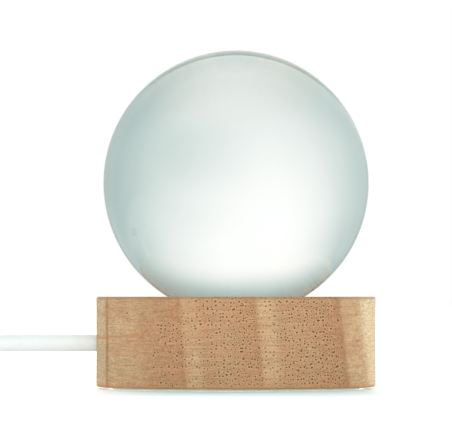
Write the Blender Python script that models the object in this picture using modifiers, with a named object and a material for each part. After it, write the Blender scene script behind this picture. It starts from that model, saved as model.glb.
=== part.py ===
"""Crystal ball lamp: a solid glass ball lies in the dish of a turned wooden base and is lit from
below by a small LED module. The lead leaves the side of the base, passes through a rocker switch,
is wound into a coil and ends in a USB plug.

Metres, +Z up, the front faces -Y and the lead leaves towards -X. The origin is on the table, under
the middle of the base.
"""

import math

import bmesh
import bpy
from mathutils import Matrix, Vector

# Clearances and fineness
GAP = 0.0003
OVERRUN = 0.001
MERGE_DISTANCE = 0.00001
ROUND_STEPS = 64
MIDDLE_STEPS = 32
SMALL_STEPS = 16
SCREW_STEPS = 12
EDGE_SEGMENTS = 3
POINTS_PER_SPAN = 24

# Glass ball
BALL_RADIUS = 0.0300
BALL_SINK = 0.0043
BALL_SEGMENTS = 48

# Wooden base
BASE_RADIUS = 0.0315
BASE_HEIGHT = 0.0203
BASE_LIFT = 0.0005
BASE_EDGE_RADIUS = 0.0007
BASE_WALL = 0.0030
COVER_LEDGE_WIDTH = 0.0050
DISH_SEGMENTS = 5

# Lead
CORD_RADIUS = 0.00185
CORD_BELOW_TOP = 0.01045
CORD_TO_CEILING = 0.0007
CORD_POINT_SPACING = 0.0074
WIRE_RADIUS = 0.00055
WIRE_SPREAD = 0.0008

# Bottom cover and foot pad
PAD_THICKNESS = 0.0008
COVER_THICKNESS = 0.0016
COVER_SCREWS = 3

# LED module
WINDOW_RADIUS = 0.0052
WINDOW_FLANGE_WIDTH = 0.0026
WINDOW_FLANGE_THICKNESS = 0.0010
HOLDER_WALL = 0.0022
HOLDER_HEIGHT = 0.0024
HOLDER_FLANGE_GRIP = 0.0011
HOLDER_MOUTH_FLARE = 0.0012
HOLDER_EAR_WIDTH = 0.0080
HOLDER_EAR_LENGTH = 0.0076
HOLDER_EAR_THICKNESS = 0.0014
BOARD_THICKNESS = 0.0012
BOARD_SCREW_INSET = 0.0017
LED_COUNT = 3
LED_SIZE = (0.0035, 0.0028, 0.0008)
LED_CIRCLE_RADIUS = 0.0034
RESISTOR_SIZE = (0.0020, 0.0012, 0.0006)
SOLDER_PAD_INSET = 0.0020

# Cord clamp
CLAMP_LENGTH = 0.0036
CLAMP_WIDTH = 0.0148
CLAMP_WALL = 0.0008
CLAMP_SCREW_Y = 0.0054
JACKET_PAST_CLAMP = 0.0004

# Screws
SCREW_RADIUS = 0.0008
SCREW_HEAD_RADIUS = 0.0015
SCREW_HEAD_HEIGHT = 0.0009
SCREW_TIP_LENGTH = 0.0012
SCREW_HEAD_CROWN_SHARE = 0.62
COUNTERSUNK_HEAD_HEIGHT = 0.0010
CROSS_LENGTH = 0.0018
CROSS_WIDTH = 0.0005
CROSS_DEPTH = 0.0006
HOLDER_SCREW_LENGTH = 0.0058
BOARD_SCREW_LENGTH = 0.0034
CLAMP_SCREW_LENGTH = 0.0090
COVER_SCREW_LENGTH = 0.0080
SWITCH_SCREW_LENGTH = 0.0066

# Inline switch, along X with its middle over SWITCH_X, SWITCH_Y
SWITCH_X = -0.1115
SWITCH_Y = -0.0210
SWITCH_LENGTH = 0.0380
SWITCH_WIDTH = 0.0150
SWITCH_HEIGHT = 0.0110
SWITCH_CORNER_RADIUS = 0.0016
SWITCH_WALL = 0.0012
SWITCH_POCKET_LENGTH = 0.0190
SWITCH_POCKET_WIDTH = 0.0116
SWITCH_SCREW_X = 0.0130
SWITCH_SCREW_Y = 0.0047
ROCKER_LENGTH = 0.0100
ROCKER_WIDTH = 0.0068
ROCKER_RISE = 0.0036
ROCKER_DIP = 0.0006
ROCKER_DEPTH = 0.0014
ROCKER_FLANK_SHARE = 0.7
ROCKER_PIVOT_HEIGHT = 0.0083
ROCKER_CLEARANCE = 0.0003
ROCKER_STEPS = 6
ROCKER_TILT_DEGREES = 8
PIVOT_RADIUS = 0.0008
PIVOT_LENGTH = 0.0014
PIVOT_CLEARANCE = 0.0002
CONTACT_WIDTH = 0.0030
CONTACT_THICKNESS = 0.0005
CONTACT_HEIGHT = 0.0030
CONTACT_FOOT = 0.0022
CONTACT_SPACING = 0.0080

# Coil of the lead that is put away
COIL_X = -0.1660
COIL_Y = 0.0
COIL_OUTER_RADIUS = 0.0265
COIL_PITCH = 0.0043
COIL_LAYER_STEP = 0.0042
COIL_TURNS = 6.5
COIL_POINTS_PER_TURN = 24
COIL_START_DEGREES = -90
COIL_TURNING_TURNS = 0.08
COIL_CLIMB_TURNS = 0.5
TIE_THICKNESS = 0.0006
TIE_WIDTH = 0.0070
TIE_DEGREES = 180
TIE_CORNER_RADIUS = 0.0005

# USB plug, along X with the end of its grip's tail at PLUG_X, PLUG_Y
PLUG_X = -0.1250
PLUG_Y = 0.0190
PLUG_TAIL_LENGTH = 0.0085
PLUG_TAIL_RADII = (0.0024, 0.0034)
PLUG_GRIP_LENGTH = 0.0230
PLUG_GRIP_WIDTH = 0.0158
PLUG_GRIP_HEIGHT = 0.0080
PLUG_GRIP_CORNER_RADIUS = 0.0009
PLUG_SHELL_LENGTH = 0.0120
PLUG_SHELL_INSIDE = 0.0050
PLUG_SHELL_WIDTH = 0.0120
PLUG_SHELL_HEIGHT = 0.0045
PLUG_SHELL_WALL = 0.0003
PLUG_LATCH_SIZE = (0.0022, 0.0022)
PLUG_LATCH_X = 0.0062
PLUG_LATCH_SPACING = 0.0060
PLUG_TONGUE_WIDTH = 0.0106
PLUG_TONGUE_THICKNESS = 0.0016
PLUG_TONGUE_SETBACK = 0.0008
PLUG_CONTACTS = 4
PLUG_CONTACT_LENGTH = 0.0072
PLUG_CONTACT_WIDTH = 0.0010
PLUG_CONTACT_THICKNESS = 0.0002
PLUG_CONTACT_SPACING = 0.0022
PLUG_CONTACT_SETBACK = 0.0012
PLUG_CONTACT_SINK = 0.0005

# Routes of the free stretches, between the places that the other pieces give
LEAD_ROUTE = (
    (-0.0240, 0.0, 0.01035),
    (-0.0315, 0.0, 0.01035),
    (-0.0400, 0.0, 0.01035),
    (-0.0480, 0.0, 0.01035),
    (-0.0560, -0.0003, 0.01020),
    (-0.0635, -0.0028, 0.00910),
    (-0.0710, -0.0079, 0.00720),
    (-0.0780, -0.0148, 0.00580),
    (-0.0845, -0.0197, 0.00530),
    (-0.0905, -0.0210, 0.00550),
    (-0.0960, -0.0210, 0.00550),
)
LINK_ROUTE = (
    (-0.1270, -0.0210, 0.00550),
    (-0.1325, -0.0212, 0.00545),
    (-0.1390, -0.0227, 0.00495),
    (-0.1455, -0.0248, 0.00400),
    (-0.1520, -0.0263, 0.00315),
)
TAIL_ROUTE = (
    (-0.1520, 0.0264, 0.00640),
    (-0.1460, 0.0249, 0.00550),
    (-0.1400, 0.0224, 0.00460),
    (-0.1340, 0.0198, 0.00410),
)

# Heights that the pieces share
base_top = BASE_LIFT + BASE_HEIGHT
ball_height = base_top - BALL_SINK + BALL_RADIUS
dish_radius = BALL_RADIUS + GAP
cord_height = base_top - CORD_BELOW_TOP
cord_hole_radius = CORD_RADIUS + GAP
ceiling_height = cord_height + CORD_RADIUS + CORD_TO_CEILING
holder_top = ceiling_height - GAP
holder_bottom = holder_top - HOLDER_HEIGHT
ear_bottom = holder_top - HOLDER_EAR_THICKNESS
board_top = holder_bottom - GAP
board_bottom = board_top - BOARD_THICKNESS
cover_bottom = PAD_THICKNESS + GAP
cover_top = cover_bottom + COVER_THICKNESS
rebate_top = cover_top + GAP
clamp_bottom = cord_height - cord_hole_radius - CLAMP_WALL

# Radii that the pieces share, from the outside of the base inwards and from its window outwards
rebate_radius = BASE_RADIUS - BASE_WALL
pocket_radius = rebate_radius - COVER_LEDGE_WIDTH
cover_screw_radius = pocket_radius + COVER_LEDGE_WIDTH / 2
screw_hole_radius = SCREW_RADIUS + GAP
flange_radius = WINDOW_RADIUS + WINDOW_FLANGE_WIDTH
holder_radius = flange_radius + HOLDER_WALL
holder_mouth_radius = flange_radius - HOLDER_FLANGE_GRIP
ear_reach = holder_radius + HOLDER_EAR_LENGTH
holder_screw_radius = holder_radius + HOLDER_EAR_LENGTH / 2
board_screw_radius = holder_radius - BOARD_SCREW_INSET
solder_pad_radius = holder_radius - SOLDER_PAD_INSET

# The clamp's outer corners stand one gap off the pocket's wall
clamp_x = GAP + CLAMP_LENGTH / 2 - math.sqrt(pocket_radius**2 - (CLAMP_WIDTH / 2) ** 2)
jacket_end = clamp_x + CLAMP_LENGTH / 2 + JACKET_PAST_CLAMP

# Heights and lengths in the switch and the plug
switch_middle = SWITCH_HEIGHT / 2
switch_pocket_top = SWITCH_HEIGHT - SWITCH_WALL
plug_middle = PLUG_GRIP_HEIGHT / 2

# Heights of the coil, whose tie passes under it
coil_underside = TIE_THICKNESS + GAP
coil_low = coil_underside + CORD_RADIUS
coil_high = coil_low + COIL_LAYER_STEP

FINISHES = {
    "clear glass": ((0.90, 0.95, 0.94), 0.03, 0.0),
    "pale hardwood": ((0.62, 0.42, 0.25), 0.55, 0.0),
    "clear acrylic": ((0.92, 0.94, 0.94), 0.10, 0.0),
    "white plastic": ((0.88, 0.89, 0.88), 0.40, 0.0),
    "white cord": ((0.87, 0.89, 0.88), 0.45, 0.0),
    "white fabric": ((0.74, 0.76, 0.75), 0.85, 0.0),
    "grey foam": ((0.10, 0.10, 0.11), 0.90, 0.0),
    "white board": ((0.85, 0.86, 0.84), 0.35, 0.0),
    "led lens": ((0.95, 0.85, 0.45), 0.25, 0.0),
    "black ceramic": ((0.03, 0.03, 0.03), 0.45, 0.0),
    "zinc steel": ((0.62, 0.62, 0.60), 0.35, 1.0),
    "nickel steel": ((0.70, 0.70, 0.68), 0.25, 1.0),
    "gilt contact": ((0.83, 0.62, 0.30), 0.25, 1.0),
    "red wire": ((0.60, 0.03, 0.02), 0.45, 0.0),
    "black wire": ((0.02, 0.02, 0.02), 0.45, 0.0),
}


def material(finish):
    """The Principled material of this finish, made once."""
    if finish in bpy.data.materials:
        return bpy.data.materials[finish]
    colour, roughness, metallic = FINISHES[finish]
    made = bpy.data.materials.new(finish)
    made.use_nodes = True
    shader = made.node_tree.nodes["Principled BSDF"]
    shader.inputs["Base Color"].default_value = (*colour, 1)
    shader.inputs["Roughness"].default_value = roughness
    shader.inputs["Metallic"].default_value = metallic
    return made


def add_object(name, data, finish=None, parent=None, location=(0, 0, 0)):
    """A sub-part with its finish, or a cutter where no finish is given."""
    made = bpy.data.objects.new(name, data)
    made.location = location
    made.parent = parent
    if finish:
        bpy.data.collections["Crystal ball lamp"].objects.link(made)
        if not data.materials:
            data.materials.append(material(finish))
    else:
        bpy.data.collections["Cutters"].objects.link(made)
        made.hide_render = True
        made.display_type = "WIRE"
    return made


def mesh_from(name, shape):
    mesh = bpy.data.meshes.new(name)
    shape.to_mesh(mesh)
    shape.free()
    return mesh


def smooth(mesh):
    mesh.shade_smooth()
    mesh.set_sharp_from_angle(angle=math.radians(35))


def turned(name, profile, steps, finish=None, ring=False, **place):
    """A turned piece: its profile of (radius, height) runs down its outer side."""
    count = len(profile)
    edges = [(i, (i + 1) % count) for i in range(count if ring else count - 1)]
    mesh = bpy.data.meshes.new(name)
    mesh.from_pydata([(radius, 0, height) for radius, height in profile], edges, [])
    made = add_object(name, mesh, finish, **place)
    turn = made.modifiers.new("Turn", "SCREW")
    turn.steps = turn.render_steps = steps
    turn.use_merge_vertices = True
    turn.merge_threshold = MERGE_DISTANCE
    return made


def rod(name, start, end, radius, steps, finish=None, end_radius=None, **place):
    """A round bar from start to end, or a cone where its end radius differs."""
    start, end = Vector(start), Vector(end)
    shape = bmesh.new()
    bmesh.ops.create_cone(
        shape,
        cap_ends=True,
        segments=steps,
        radius1=radius,
        radius2=radius if end_radius is None else end_radius,
        depth=(end - start).length,
    )
    turn = (end - start).to_track_quat("Z", "Y").to_matrix().to_4x4()
    middle = Matrix.Translation((start + end) / 2)
    bmesh.ops.transform(shape, matrix=middle @ turn, verts=shape.verts)
    mesh = mesh_from(name, shape)
    smooth(mesh)
    return add_object(name, mesh, finish, **place)


def block(name, low, high, finish=None, edge=0, segments=EDGE_SEGMENTS, **place):
    """A box between two corners, its edges rounded where an edge radius is given."""
    low, high = Vector(low), Vector(high)
    shape = bmesh.new()
    bmesh.ops.create_cube(shape, size=1)
    middle = Matrix.Translation((low + high) / 2)
    size = Matrix.Diagonal((*(high - low), 1))
    bmesh.ops.transform(shape, matrix=middle @ size, verts=shape.verts)
    made = add_object(name, mesh_from(name, shape), finish, **place)
    if edge:
        bevel = made.modifiers.new("Round the edges", "BEVEL")
        bevel.width = edge
        bevel.segments = segments
    return made


def combine(made, operation, *others):
    for other in others:
        step = made.modifiers.new(operation.capitalize(), "BOOLEAN")
        step.operation = operation
        step.object = other


def cut(made, *cutters):
    combine(made, "DIFFERENCE", *cutters)


def evaluated_mesh(made):
    """The mesh of an object after its modifiers, in its own frame."""
    graph = bpy.context.evaluated_depsgraph_get()
    return bpy.data.meshes.new_from_object(made.evaluated_get(graph))


def frozen(made, finish):
    """The same shape as one plain mesh, for a piece that others are joined to."""
    mesh = evaluated_mesh(made)
    shape = bmesh.new()
    shape.from_mesh(mesh)
    bmesh.ops.remove_doubles(shape, verts=shape.verts, dist=MERGE_DISTANCE)
    shape.to_mesh(mesh)
    shape.free()
    name, place, parent = made.name, made.matrix_world.copy(), made.parent
    bpy.data.objects.remove(made)
    plain = add_object(name, mesh, finish, parent=parent)
    plain.matrix_world = place
    return plain


def arc(centre, radius, first_degrees, last_degrees, segments):
    """Points on an arc in a profile, as (radius, height)."""
    angles = [
        math.radians(first_degrees + (last_degrees - first_degrees) * i / segments)
        for i in range(segments + 1)
    ]
    return [(centre[0] + radius * math.cos(a), centre[1] + radius * math.sin(a)) for a in angles]


def around(count, radius, height, first_degrees=0):
    """Places on a circle round the lamp's axis."""
    angles = [math.radians(first_degrees) + math.tau * i / count for i in range(count)]
    return [Vector((radius * math.cos(a), radius * math.sin(a), height)) for a in angles]


def screw_mesh(name, length, countersunk=False):
    """A screw that points up from the origin, which is the middle of its bearing face or flat head."""
    tip = [(0, length), (SCREW_RADIUS, length - SCREW_TIP_LENGTH)]
    if countersunk:
        head_face = 0
        head = [(SCREW_RADIUS, COUNTERSUNK_HEAD_HEIGHT), (SCREW_HEAD_RADIUS, 0), (0, 0)]
    else:
        head_face = -SCREW_HEAD_HEIGHT
        head = [
            (SCREW_RADIUS, 0),
            (SCREW_HEAD_RADIUS, 0),
            (SCREW_HEAD_RADIUS, -SCREW_HEAD_HEIGHT / 2),
            (SCREW_HEAD_RADIUS * SCREW_HEAD_CROWN_SHARE, head_face),
            (0, head_face),
        ]
    whole = turned(name, tip + head, SCREW_STEPS, "zinc steel")
    bars = [
        block(
            name + "_slot",
            (-along / 2, -across / 2, head_face - OVERRUN),
            (along / 2, across / 2, head_face + CROSS_DEPTH),
        )
        for along, across in ((CROSS_LENGTH, CROSS_WIDTH), (CROSS_WIDTH, CROSS_LENGTH))
    ]
    cut(whole, *bars)
    mesh = evaluated_mesh(whole)
    smooth(mesh)
    for helper in (whole, *bars):
        bpy.data.objects.remove(helper)
    return mesh


def add_screws(name, mesh, places, parent=None):
    for number, place in enumerate(places, 1):
        add_object(f"{name}_{number}", mesh, "zinc steel", parent, place)


def holes(name, places, rise, parent=None, radius=screw_hole_radius):
    """Cutters for the shanks of upright screws, from just below each place to a height over it."""
    return [
        rod(
            f"{name}_{number}",
            (0, 0, -OVERRUN),
            (0, 0, rise),
            radius,
            SCREW_STEPS,
            parent=parent,
            location=place,
        )
        for number, place in enumerate(places, 1)
    ]


def smooth_points(route, spacing):
    """Points at even steps along a smooth curve through the route, whose end runs stay straight."""
    route = [Vector(point) for point in route]
    fine = []
    for before, a, b, after in zip(route, route[1:], route[2:], route[3:]):
        for step in range(POINTS_PER_SPAN):
            t = step / POINTS_PER_SPAN
            slope_in, slope_out = (b - before) / 2, (after - a) / 2
            fine.append(
                (2 * t**3 - 3 * t**2 + 1) * a
                + (t**3 - 2 * t**2 + t) * slope_in
                + (3 * t**2 - 2 * t**3) * b
                + (t**3 - t**2) * slope_out
            )
    fine.append(route[-2])
    along = [0.0]
    for a, b in zip(fine, fine[1:]):
        along.append(along[-1] + (b - a).length)
    count = max(2, round(along[-1] / spacing))
    points, place = [], 0
    for number in range(count + 1):
        target = along[-1] * number / count
        while place < len(fine) - 2 and along[place + 1] < target:
            place += 1
        share = (target - along[place]) / (along[place + 1] - along[place])
        points.append(fine[place].lerp(fine[place + 1], share))
    return [route[0], *points, route[-1]]


def tube(name, points, radius, finish, resolution=2, **place):
    curve = bpy.data.curves.new(name, "CURVE")
    curve.dimensions = "3D"
    curve.bevel_depth = radius
    curve.bevel_resolution = resolution
    curve.use_fill_caps = True
    line = curve.splines.new("POLY")
    line.points.add(len(points) - 1)
    for spot, point in zip(line.points, points):
        spot.co = (*point, 1)
    return add_object(name, curve, finish, **place)


def outline_solid(name, outline, thickness, finish=None, **place):
    """A flat outline in X and Z, thickness wide across Y about the middle plane."""
    curve = bpy.data.curves.new(name, "CURVE")
    curve.dimensions = "2D"
    curve.fill_mode = "BOTH"
    curve.extrude = thickness / 2
    line = curve.splines.new("POLY")
    line.points.add(len(outline) - 1)
    for spot, (x, z) in zip(line.points, outline):
        spot.co = (x, z, 0, 1)
    line.use_cyclic_u = True
    made = add_object(name, curve, finish, **place)
    made.rotation_euler = (math.radians(90), 0, 0)
    return made


def glass_ball():
    shape = bmesh.new()
    bmesh.ops.create_uvsphere(
        shape, u_segments=BALL_SEGMENTS, v_segments=BALL_SEGMENTS // 2, radius=BALL_RADIUS
    )
    mesh = mesh_from("crystal_ball", shape)
    smooth(mesh)
    add_object("crystal_ball", mesh, "clear glass", location=(0, 0, ball_height))


def base_profile():
    """Outer side from the dish's rim down, then back up through the pocket to the dish."""
    edge = BASE_EDGE_RADIUS
    side = BASE_RADIUS - edge
    window_rebate_top = ceiling_height + WINDOW_FLANGE_THICKNESS + GAP
    hole = WINDOW_RADIUS + GAP
    dish_start = math.degrees(math.asin(hole / dish_radius)) - 90
    dish_end = -math.degrees(math.asin((ball_height - base_top) / dish_radius))
    return (
        arc((side, base_top - edge), edge, 90, 0, EDGE_SEGMENTS)
        + arc((side, BASE_LIFT + edge), edge, 0, -90, EDGE_SEGMENTS)
        + [
            (rebate_radius, BASE_LIFT),
            (rebate_radius, rebate_top),
            (pocket_radius, rebate_top),
            (pocket_radius, ceiling_height),
            (flange_radius + GAP, ceiling_height),
            (flange_radius + GAP, window_rebate_top),
            (hole, window_rebate_top),
        ]
        + arc((0, ball_height), dish_radius, dish_start, dish_end, DISH_SEGMENTS)
    )


def holder_screw_places():
    return around(2, holder_screw_radius, ear_bottom - GAP, 90)


def board_screw_places():
    return around(2, board_screw_radius, board_bottom - GAP, 45)


def clamp_screw_places():
    return [Vector((clamp_x, y, clamp_bottom - GAP)) for y in (-CLAMP_SCREW_Y, CLAMP_SCREW_Y)]


def cover_screw_places():
    return around(COVER_SCREWS, cover_screw_radius, cover_bottom, 30)


def wooden_base():
    base = turned("wood_base", base_profile(), ROUND_STEPS, "pale hardwood", ring=True)
    cord_hole = rod(
        "cord_hole",
        (-BASE_RADIUS - OVERRUN, 0, cord_height),
        (-pocket_radius + OVERRUN, 0, cord_height),
        cord_hole_radius,
        SMALL_STEPS,
    )
    cut(
        base,
        cord_hole,
        *holes("holder_screw_hole", holder_screw_places(), HOLDER_SCREW_LENGTH + GAP),
        *holes("clamp_screw_hole", clamp_screw_places(), CLAMP_SCREW_LENGTH + GAP),
        *holes("cover_screw_hole", cover_screw_places(), COVER_SCREW_LENGTH + GAP),
    )


def bottom_cover():
    """The cover closes the pocket and the pad under it is what the lamp stands on."""
    radius = rebate_radius - GAP
    axis = [(0, 0, height) for height in (0, PAD_THICKNESS, cover_bottom, cover_top)]
    rod("foot_pad", axis[0], axis[1], radius - GAP, ROUND_STEPS, "grey foam")
    cover = rod("bottom_cover", axis[2], axis[3], radius, ROUND_STEPS, "white plastic")
    places = cover_screw_places()
    countersink = [
        (0, COVER_THICKNESS + OVERRUN),
        (screw_hole_radius, COVER_THICKNESS + OVERRUN),
        (screw_hole_radius, COUNTERSUNK_HEAD_HEIGHT),
        (SCREW_HEAD_RADIUS + 2 * GAP, -GAP),
        (0, -GAP),
    ]
    cut(
        cover,
        *(
            turned(f"countersink_{number}", countersink, SCREW_STEPS, location=place)
            for number, place in enumerate(places, 1)
        ),
    )
    add_screws("cover_screw", screw_mesh("cover_screw", COVER_SCREW_LENGTH, countersunk=True), places)


def led_window():
    """A flanged clear disc that fills the hole under the ball."""
    flange_top = ceiling_height + WINDOW_FLANGE_THICKNESS
    profile = [
        (0, ball_height - dish_radius),
        (WINDOW_RADIUS, ball_height - dish_radius),
        (WINDOW_RADIUS, flange_top),
        (flange_radius, flange_top),
        (flange_radius, ceiling_height),
        (0, ceiling_height),
    ]
    turned("led_window", profile, MIDDLE_STEPS, "clear acrylic")


def led_holder():
    """A white dish that clamps the window and carries the board, hung from the wood by two ears."""
    bottom, top = (0, 0, holder_bottom), (0, 0, holder_top)
    holder = rod("led_holder", bottom, top, holder_radius, MIDDLE_STEPS, "white plastic")
    ears = block(
        "holder_ears",
        (-HOLDER_EAR_WIDTH / 2, -ear_reach, ear_bottom),
        (HOLDER_EAR_WIDTH / 2, ear_reach, holder_top),
    )
    slope = HOLDER_MOUTH_FLARE / HOLDER_HEIGHT
    mouth = rod(
        "holder_mouth",
        (0, 0, holder_bottom - OVERRUN),
        (0, 0, holder_top + OVERRUN),
        holder_mouth_radius - HOLDER_MOUTH_FLARE - slope * OVERRUN,
        MIDDLE_STEPS,
        end_radius=holder_mouth_radius + slope * OVERRUN,
    )
    combine(holder, "UNION", ears)
    holder_places, board_places = holder_screw_places(), board_screw_places()
    cut(
        holder,
        mouth,
        *holes("ear_hole", holder_places, HOLDER_EAR_THICKNESS + OVERRUN),
        *holes("board_screw_pilot", board_places, BOARD_SCREW_LENGTH + GAP),
    )
    add_screws("holder_screw", screw_mesh("holder_screw", HOLDER_SCREW_LENGTH), holder_places)


def led_board():
    bottom, top = (0, 0, board_bottom), (0, 0, board_top)
    board = rod("led_board", bottom, top, holder_radius, MIDDLE_STEPS, "white board")
    places = board_screw_places()
    cut(board, *holes("board_hole", places, BOARD_THICKNESS + OVERRUN))
    add_screws("board_screw", screw_mesh("board_screw", BOARD_SCREW_LENGTH), places)
    length, width, height = LED_SIZE
    for number, place in enumerate(around(LED_COUNT, LED_CIRCLE_RADIUS, board_top + GAP, 90), 1):
        low, high = (-length / 2, -width / 2, 0), (length / 2, width / 2, height)
        chip = block(f"led_{number}", low, high, "led lens", location=place)
        chip.rotation_euler.z = math.atan2(place.y, place.x) + math.radians(90)
    length, width, height = RESISTOR_SIZE
    for number, place in enumerate(around(LED_COUNT, LED_CIRCLE_RADIUS, board_top + GAP, 30)[:2], 1):
        low, high = (-length / 2, -width / 2, 0), (length / 2, width / 2, height)
        chip = block(f"resistor_{number}", low, high, "black ceramic", location=place)
        chip.rotation_euler.z = math.atan2(place.y, place.x) + math.radians(90)


def cord_clamp():
    """A saddle that holds the lead up against the pocket's ceiling."""
    half_length, half_width = CLAMP_LENGTH / 2, CLAMP_WIDTH / 2
    clamp = block(
        "cord_clamp",
        (clamp_x - half_length, -half_width, clamp_bottom),
        (clamp_x + half_length, half_width, ceiling_height - GAP),
        "white plastic",
    )
    past = half_length + OVERRUN
    groove = rod(
        "clamp_groove",
        (clamp_x - past, 0, cord_height),
        (clamp_x + past, 0, cord_height),
        cord_hole_radius,
        SMALL_STEPS,
    )
    mouth = block(
        "clamp_mouth",
        (clamp_x - past, -cord_hole_radius, cord_height),
        (clamp_x + past, cord_hole_radius, ceiling_height + OVERRUN),
    )
    places = clamp_screw_places()
    cut(clamp, groove, mouth, *holes("clamp_hole", places, ceiling_height - clamp_bottom + OVERRUN))
    add_screws("clamp_screw", screw_mesh("clamp_screw", CLAMP_SCREW_LENGTH), places)


def base_wires():
    """Two wires from the end of the lead's jacket, under the board's edge and up to its pads."""
    below_board = board_bottom - 3 * WIRE_RADIUS
    for name, finish, side in (("positive_wire", "red wire", 1), ("negative_wire", "black wire", -1)):
        y = side * WIRE_SPREAD
        route = [
            (jacket_end + GAP, y, cord_height),
            (jacket_end + GAP + 2 * WIRE_RADIUS, y, cord_height),
            (-holder_radius - 2 * WIRE_RADIUS, y, (cord_height + below_board) / 2),
            (-holder_radius, 1.5 * y, below_board),
            (-(holder_radius + solder_pad_radius) / 2, 2 * y, below_board - WIRE_RADIUS / 2),
            (-solder_pad_radius, 2 * y, below_board + WIRE_RADIUS),
            (-solder_pad_radius, 2 * y, board_bottom - GAP),
        ]
        tube(name, smooth_points(route, 2 * WIRE_RADIUS), WIRE_RADIUS, finish, resolution=1)


def empty(name, location, parent=None):
    made = bpy.data.objects.new(name, None)
    made.location = location
    made.parent = parent
    bpy.data.collections["Crystal ball lamp"].objects.link(made)
    return made


def switch_shells(place):
    """The two halves of the case, with the channel that grips the lead at each end."""
    half_length, half_width = SWITCH_LENGTH / 2, SWITCH_WIDTH / 2
    past = SWITCH_HEIGHT + OVERRUN
    channel = rod(
        "switch_channel",
        (-half_length - OVERRUN, 0, switch_middle),
        (half_length + OVERRUN, 0, switch_middle),
        cord_hole_radius,
        SMALL_STEPS,
        parent=place,
    )
    screw_places = [
        Vector((x, y, SCREW_HEAD_HEIGHT + GAP))
        for x, y in ((-SWITCH_SCREW_X, SWITCH_SCREW_Y), (SWITCH_SCREW_X, -SWITCH_SCREW_Y))
    ]
    screw_holes = holes("switch_screw_hole", screw_places, SWITCH_SCREW_LENGTH + GAP, place)
    head_holes = [
        rod(
            f"switch_head_hole_{number}",
            (0, 0, -past),
            (0, 0, -GAP),
            SCREW_HEAD_RADIUS + GAP,
            SCREW_STEPS,
            parent=place,
            location=spot + Vector((0, 0, GAP)),
        )
        for number, spot in enumerate(screw_places, 1)
    ]

    def shell(name, removed_low, removed_high):
        case = block(
            name,
            (-half_length, -half_width, 0),
            (half_length, half_width, SWITCH_HEIGHT),
            "white plastic",
            edge=SWITCH_CORNER_RADIUS,
            parent=place,
        )
        other_half = block(
            name + "_other_half",
            (-half_length - OVERRUN, -half_width - OVERRUN, removed_low),
            (half_length + OVERRUN, half_width + OVERRUN, removed_high),
            parent=place,
        )
        cut(case, other_half, channel, *screw_holes)
        return case

    def pocket(name, length, width, low, high):
        return block(name, (-length / 2, -width / 2, low), (length / 2, width / 2, high), parent=place)

    lower = shell("switch_lower_shell", switch_middle - GAP / 2, past)
    cut(
        lower,
        pocket("lower_pocket", SWITCH_POCKET_LENGTH, SWITCH_POCKET_WIDTH, SWITCH_WALL, past),
        *head_holes,
    )
    upper = shell("switch_upper_shell", -OVERRUN, switch_middle + GAP / 2)
    tilt = math.radians(ROCKER_TILT_DEGREES)
    swing = ROCKER_LENGTH * math.cos(tilt) + 2 * (SWITCH_HEIGHT - ROCKER_PIVOT_HEIGHT) * math.sin(tilt)
    rocker_slot = ROCKER_WIDTH + 2 * ROCKER_CLEARANCE
    socket_reach = ROCKER_WIDTH / 2 + PIVOT_LENGTH + GAP
    sockets = rod(
        "pivot_sockets",
        (0, -socket_reach, ROCKER_PIVOT_HEIGHT),
        (0, socket_reach, ROCKER_PIVOT_HEIGHT),
        PIVOT_RADIUS + PIVOT_CLEARANCE,
        SMALL_STEPS,
        parent=place,
    )
    cut(
        upper,
        pocket("upper_pocket", SWITCH_POCKET_LENGTH, rocker_slot + 2 * GAP, 0, switch_pocket_top),
        pocket("rocker_window", swing + 2 * ROCKER_CLEARANCE, rocker_slot, switch_middle, past),
        sockets,
    )
    add_screws("switch_screw", screw_mesh("switch_screw", SWITCH_SCREW_LENGTH), screw_places, place)


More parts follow.
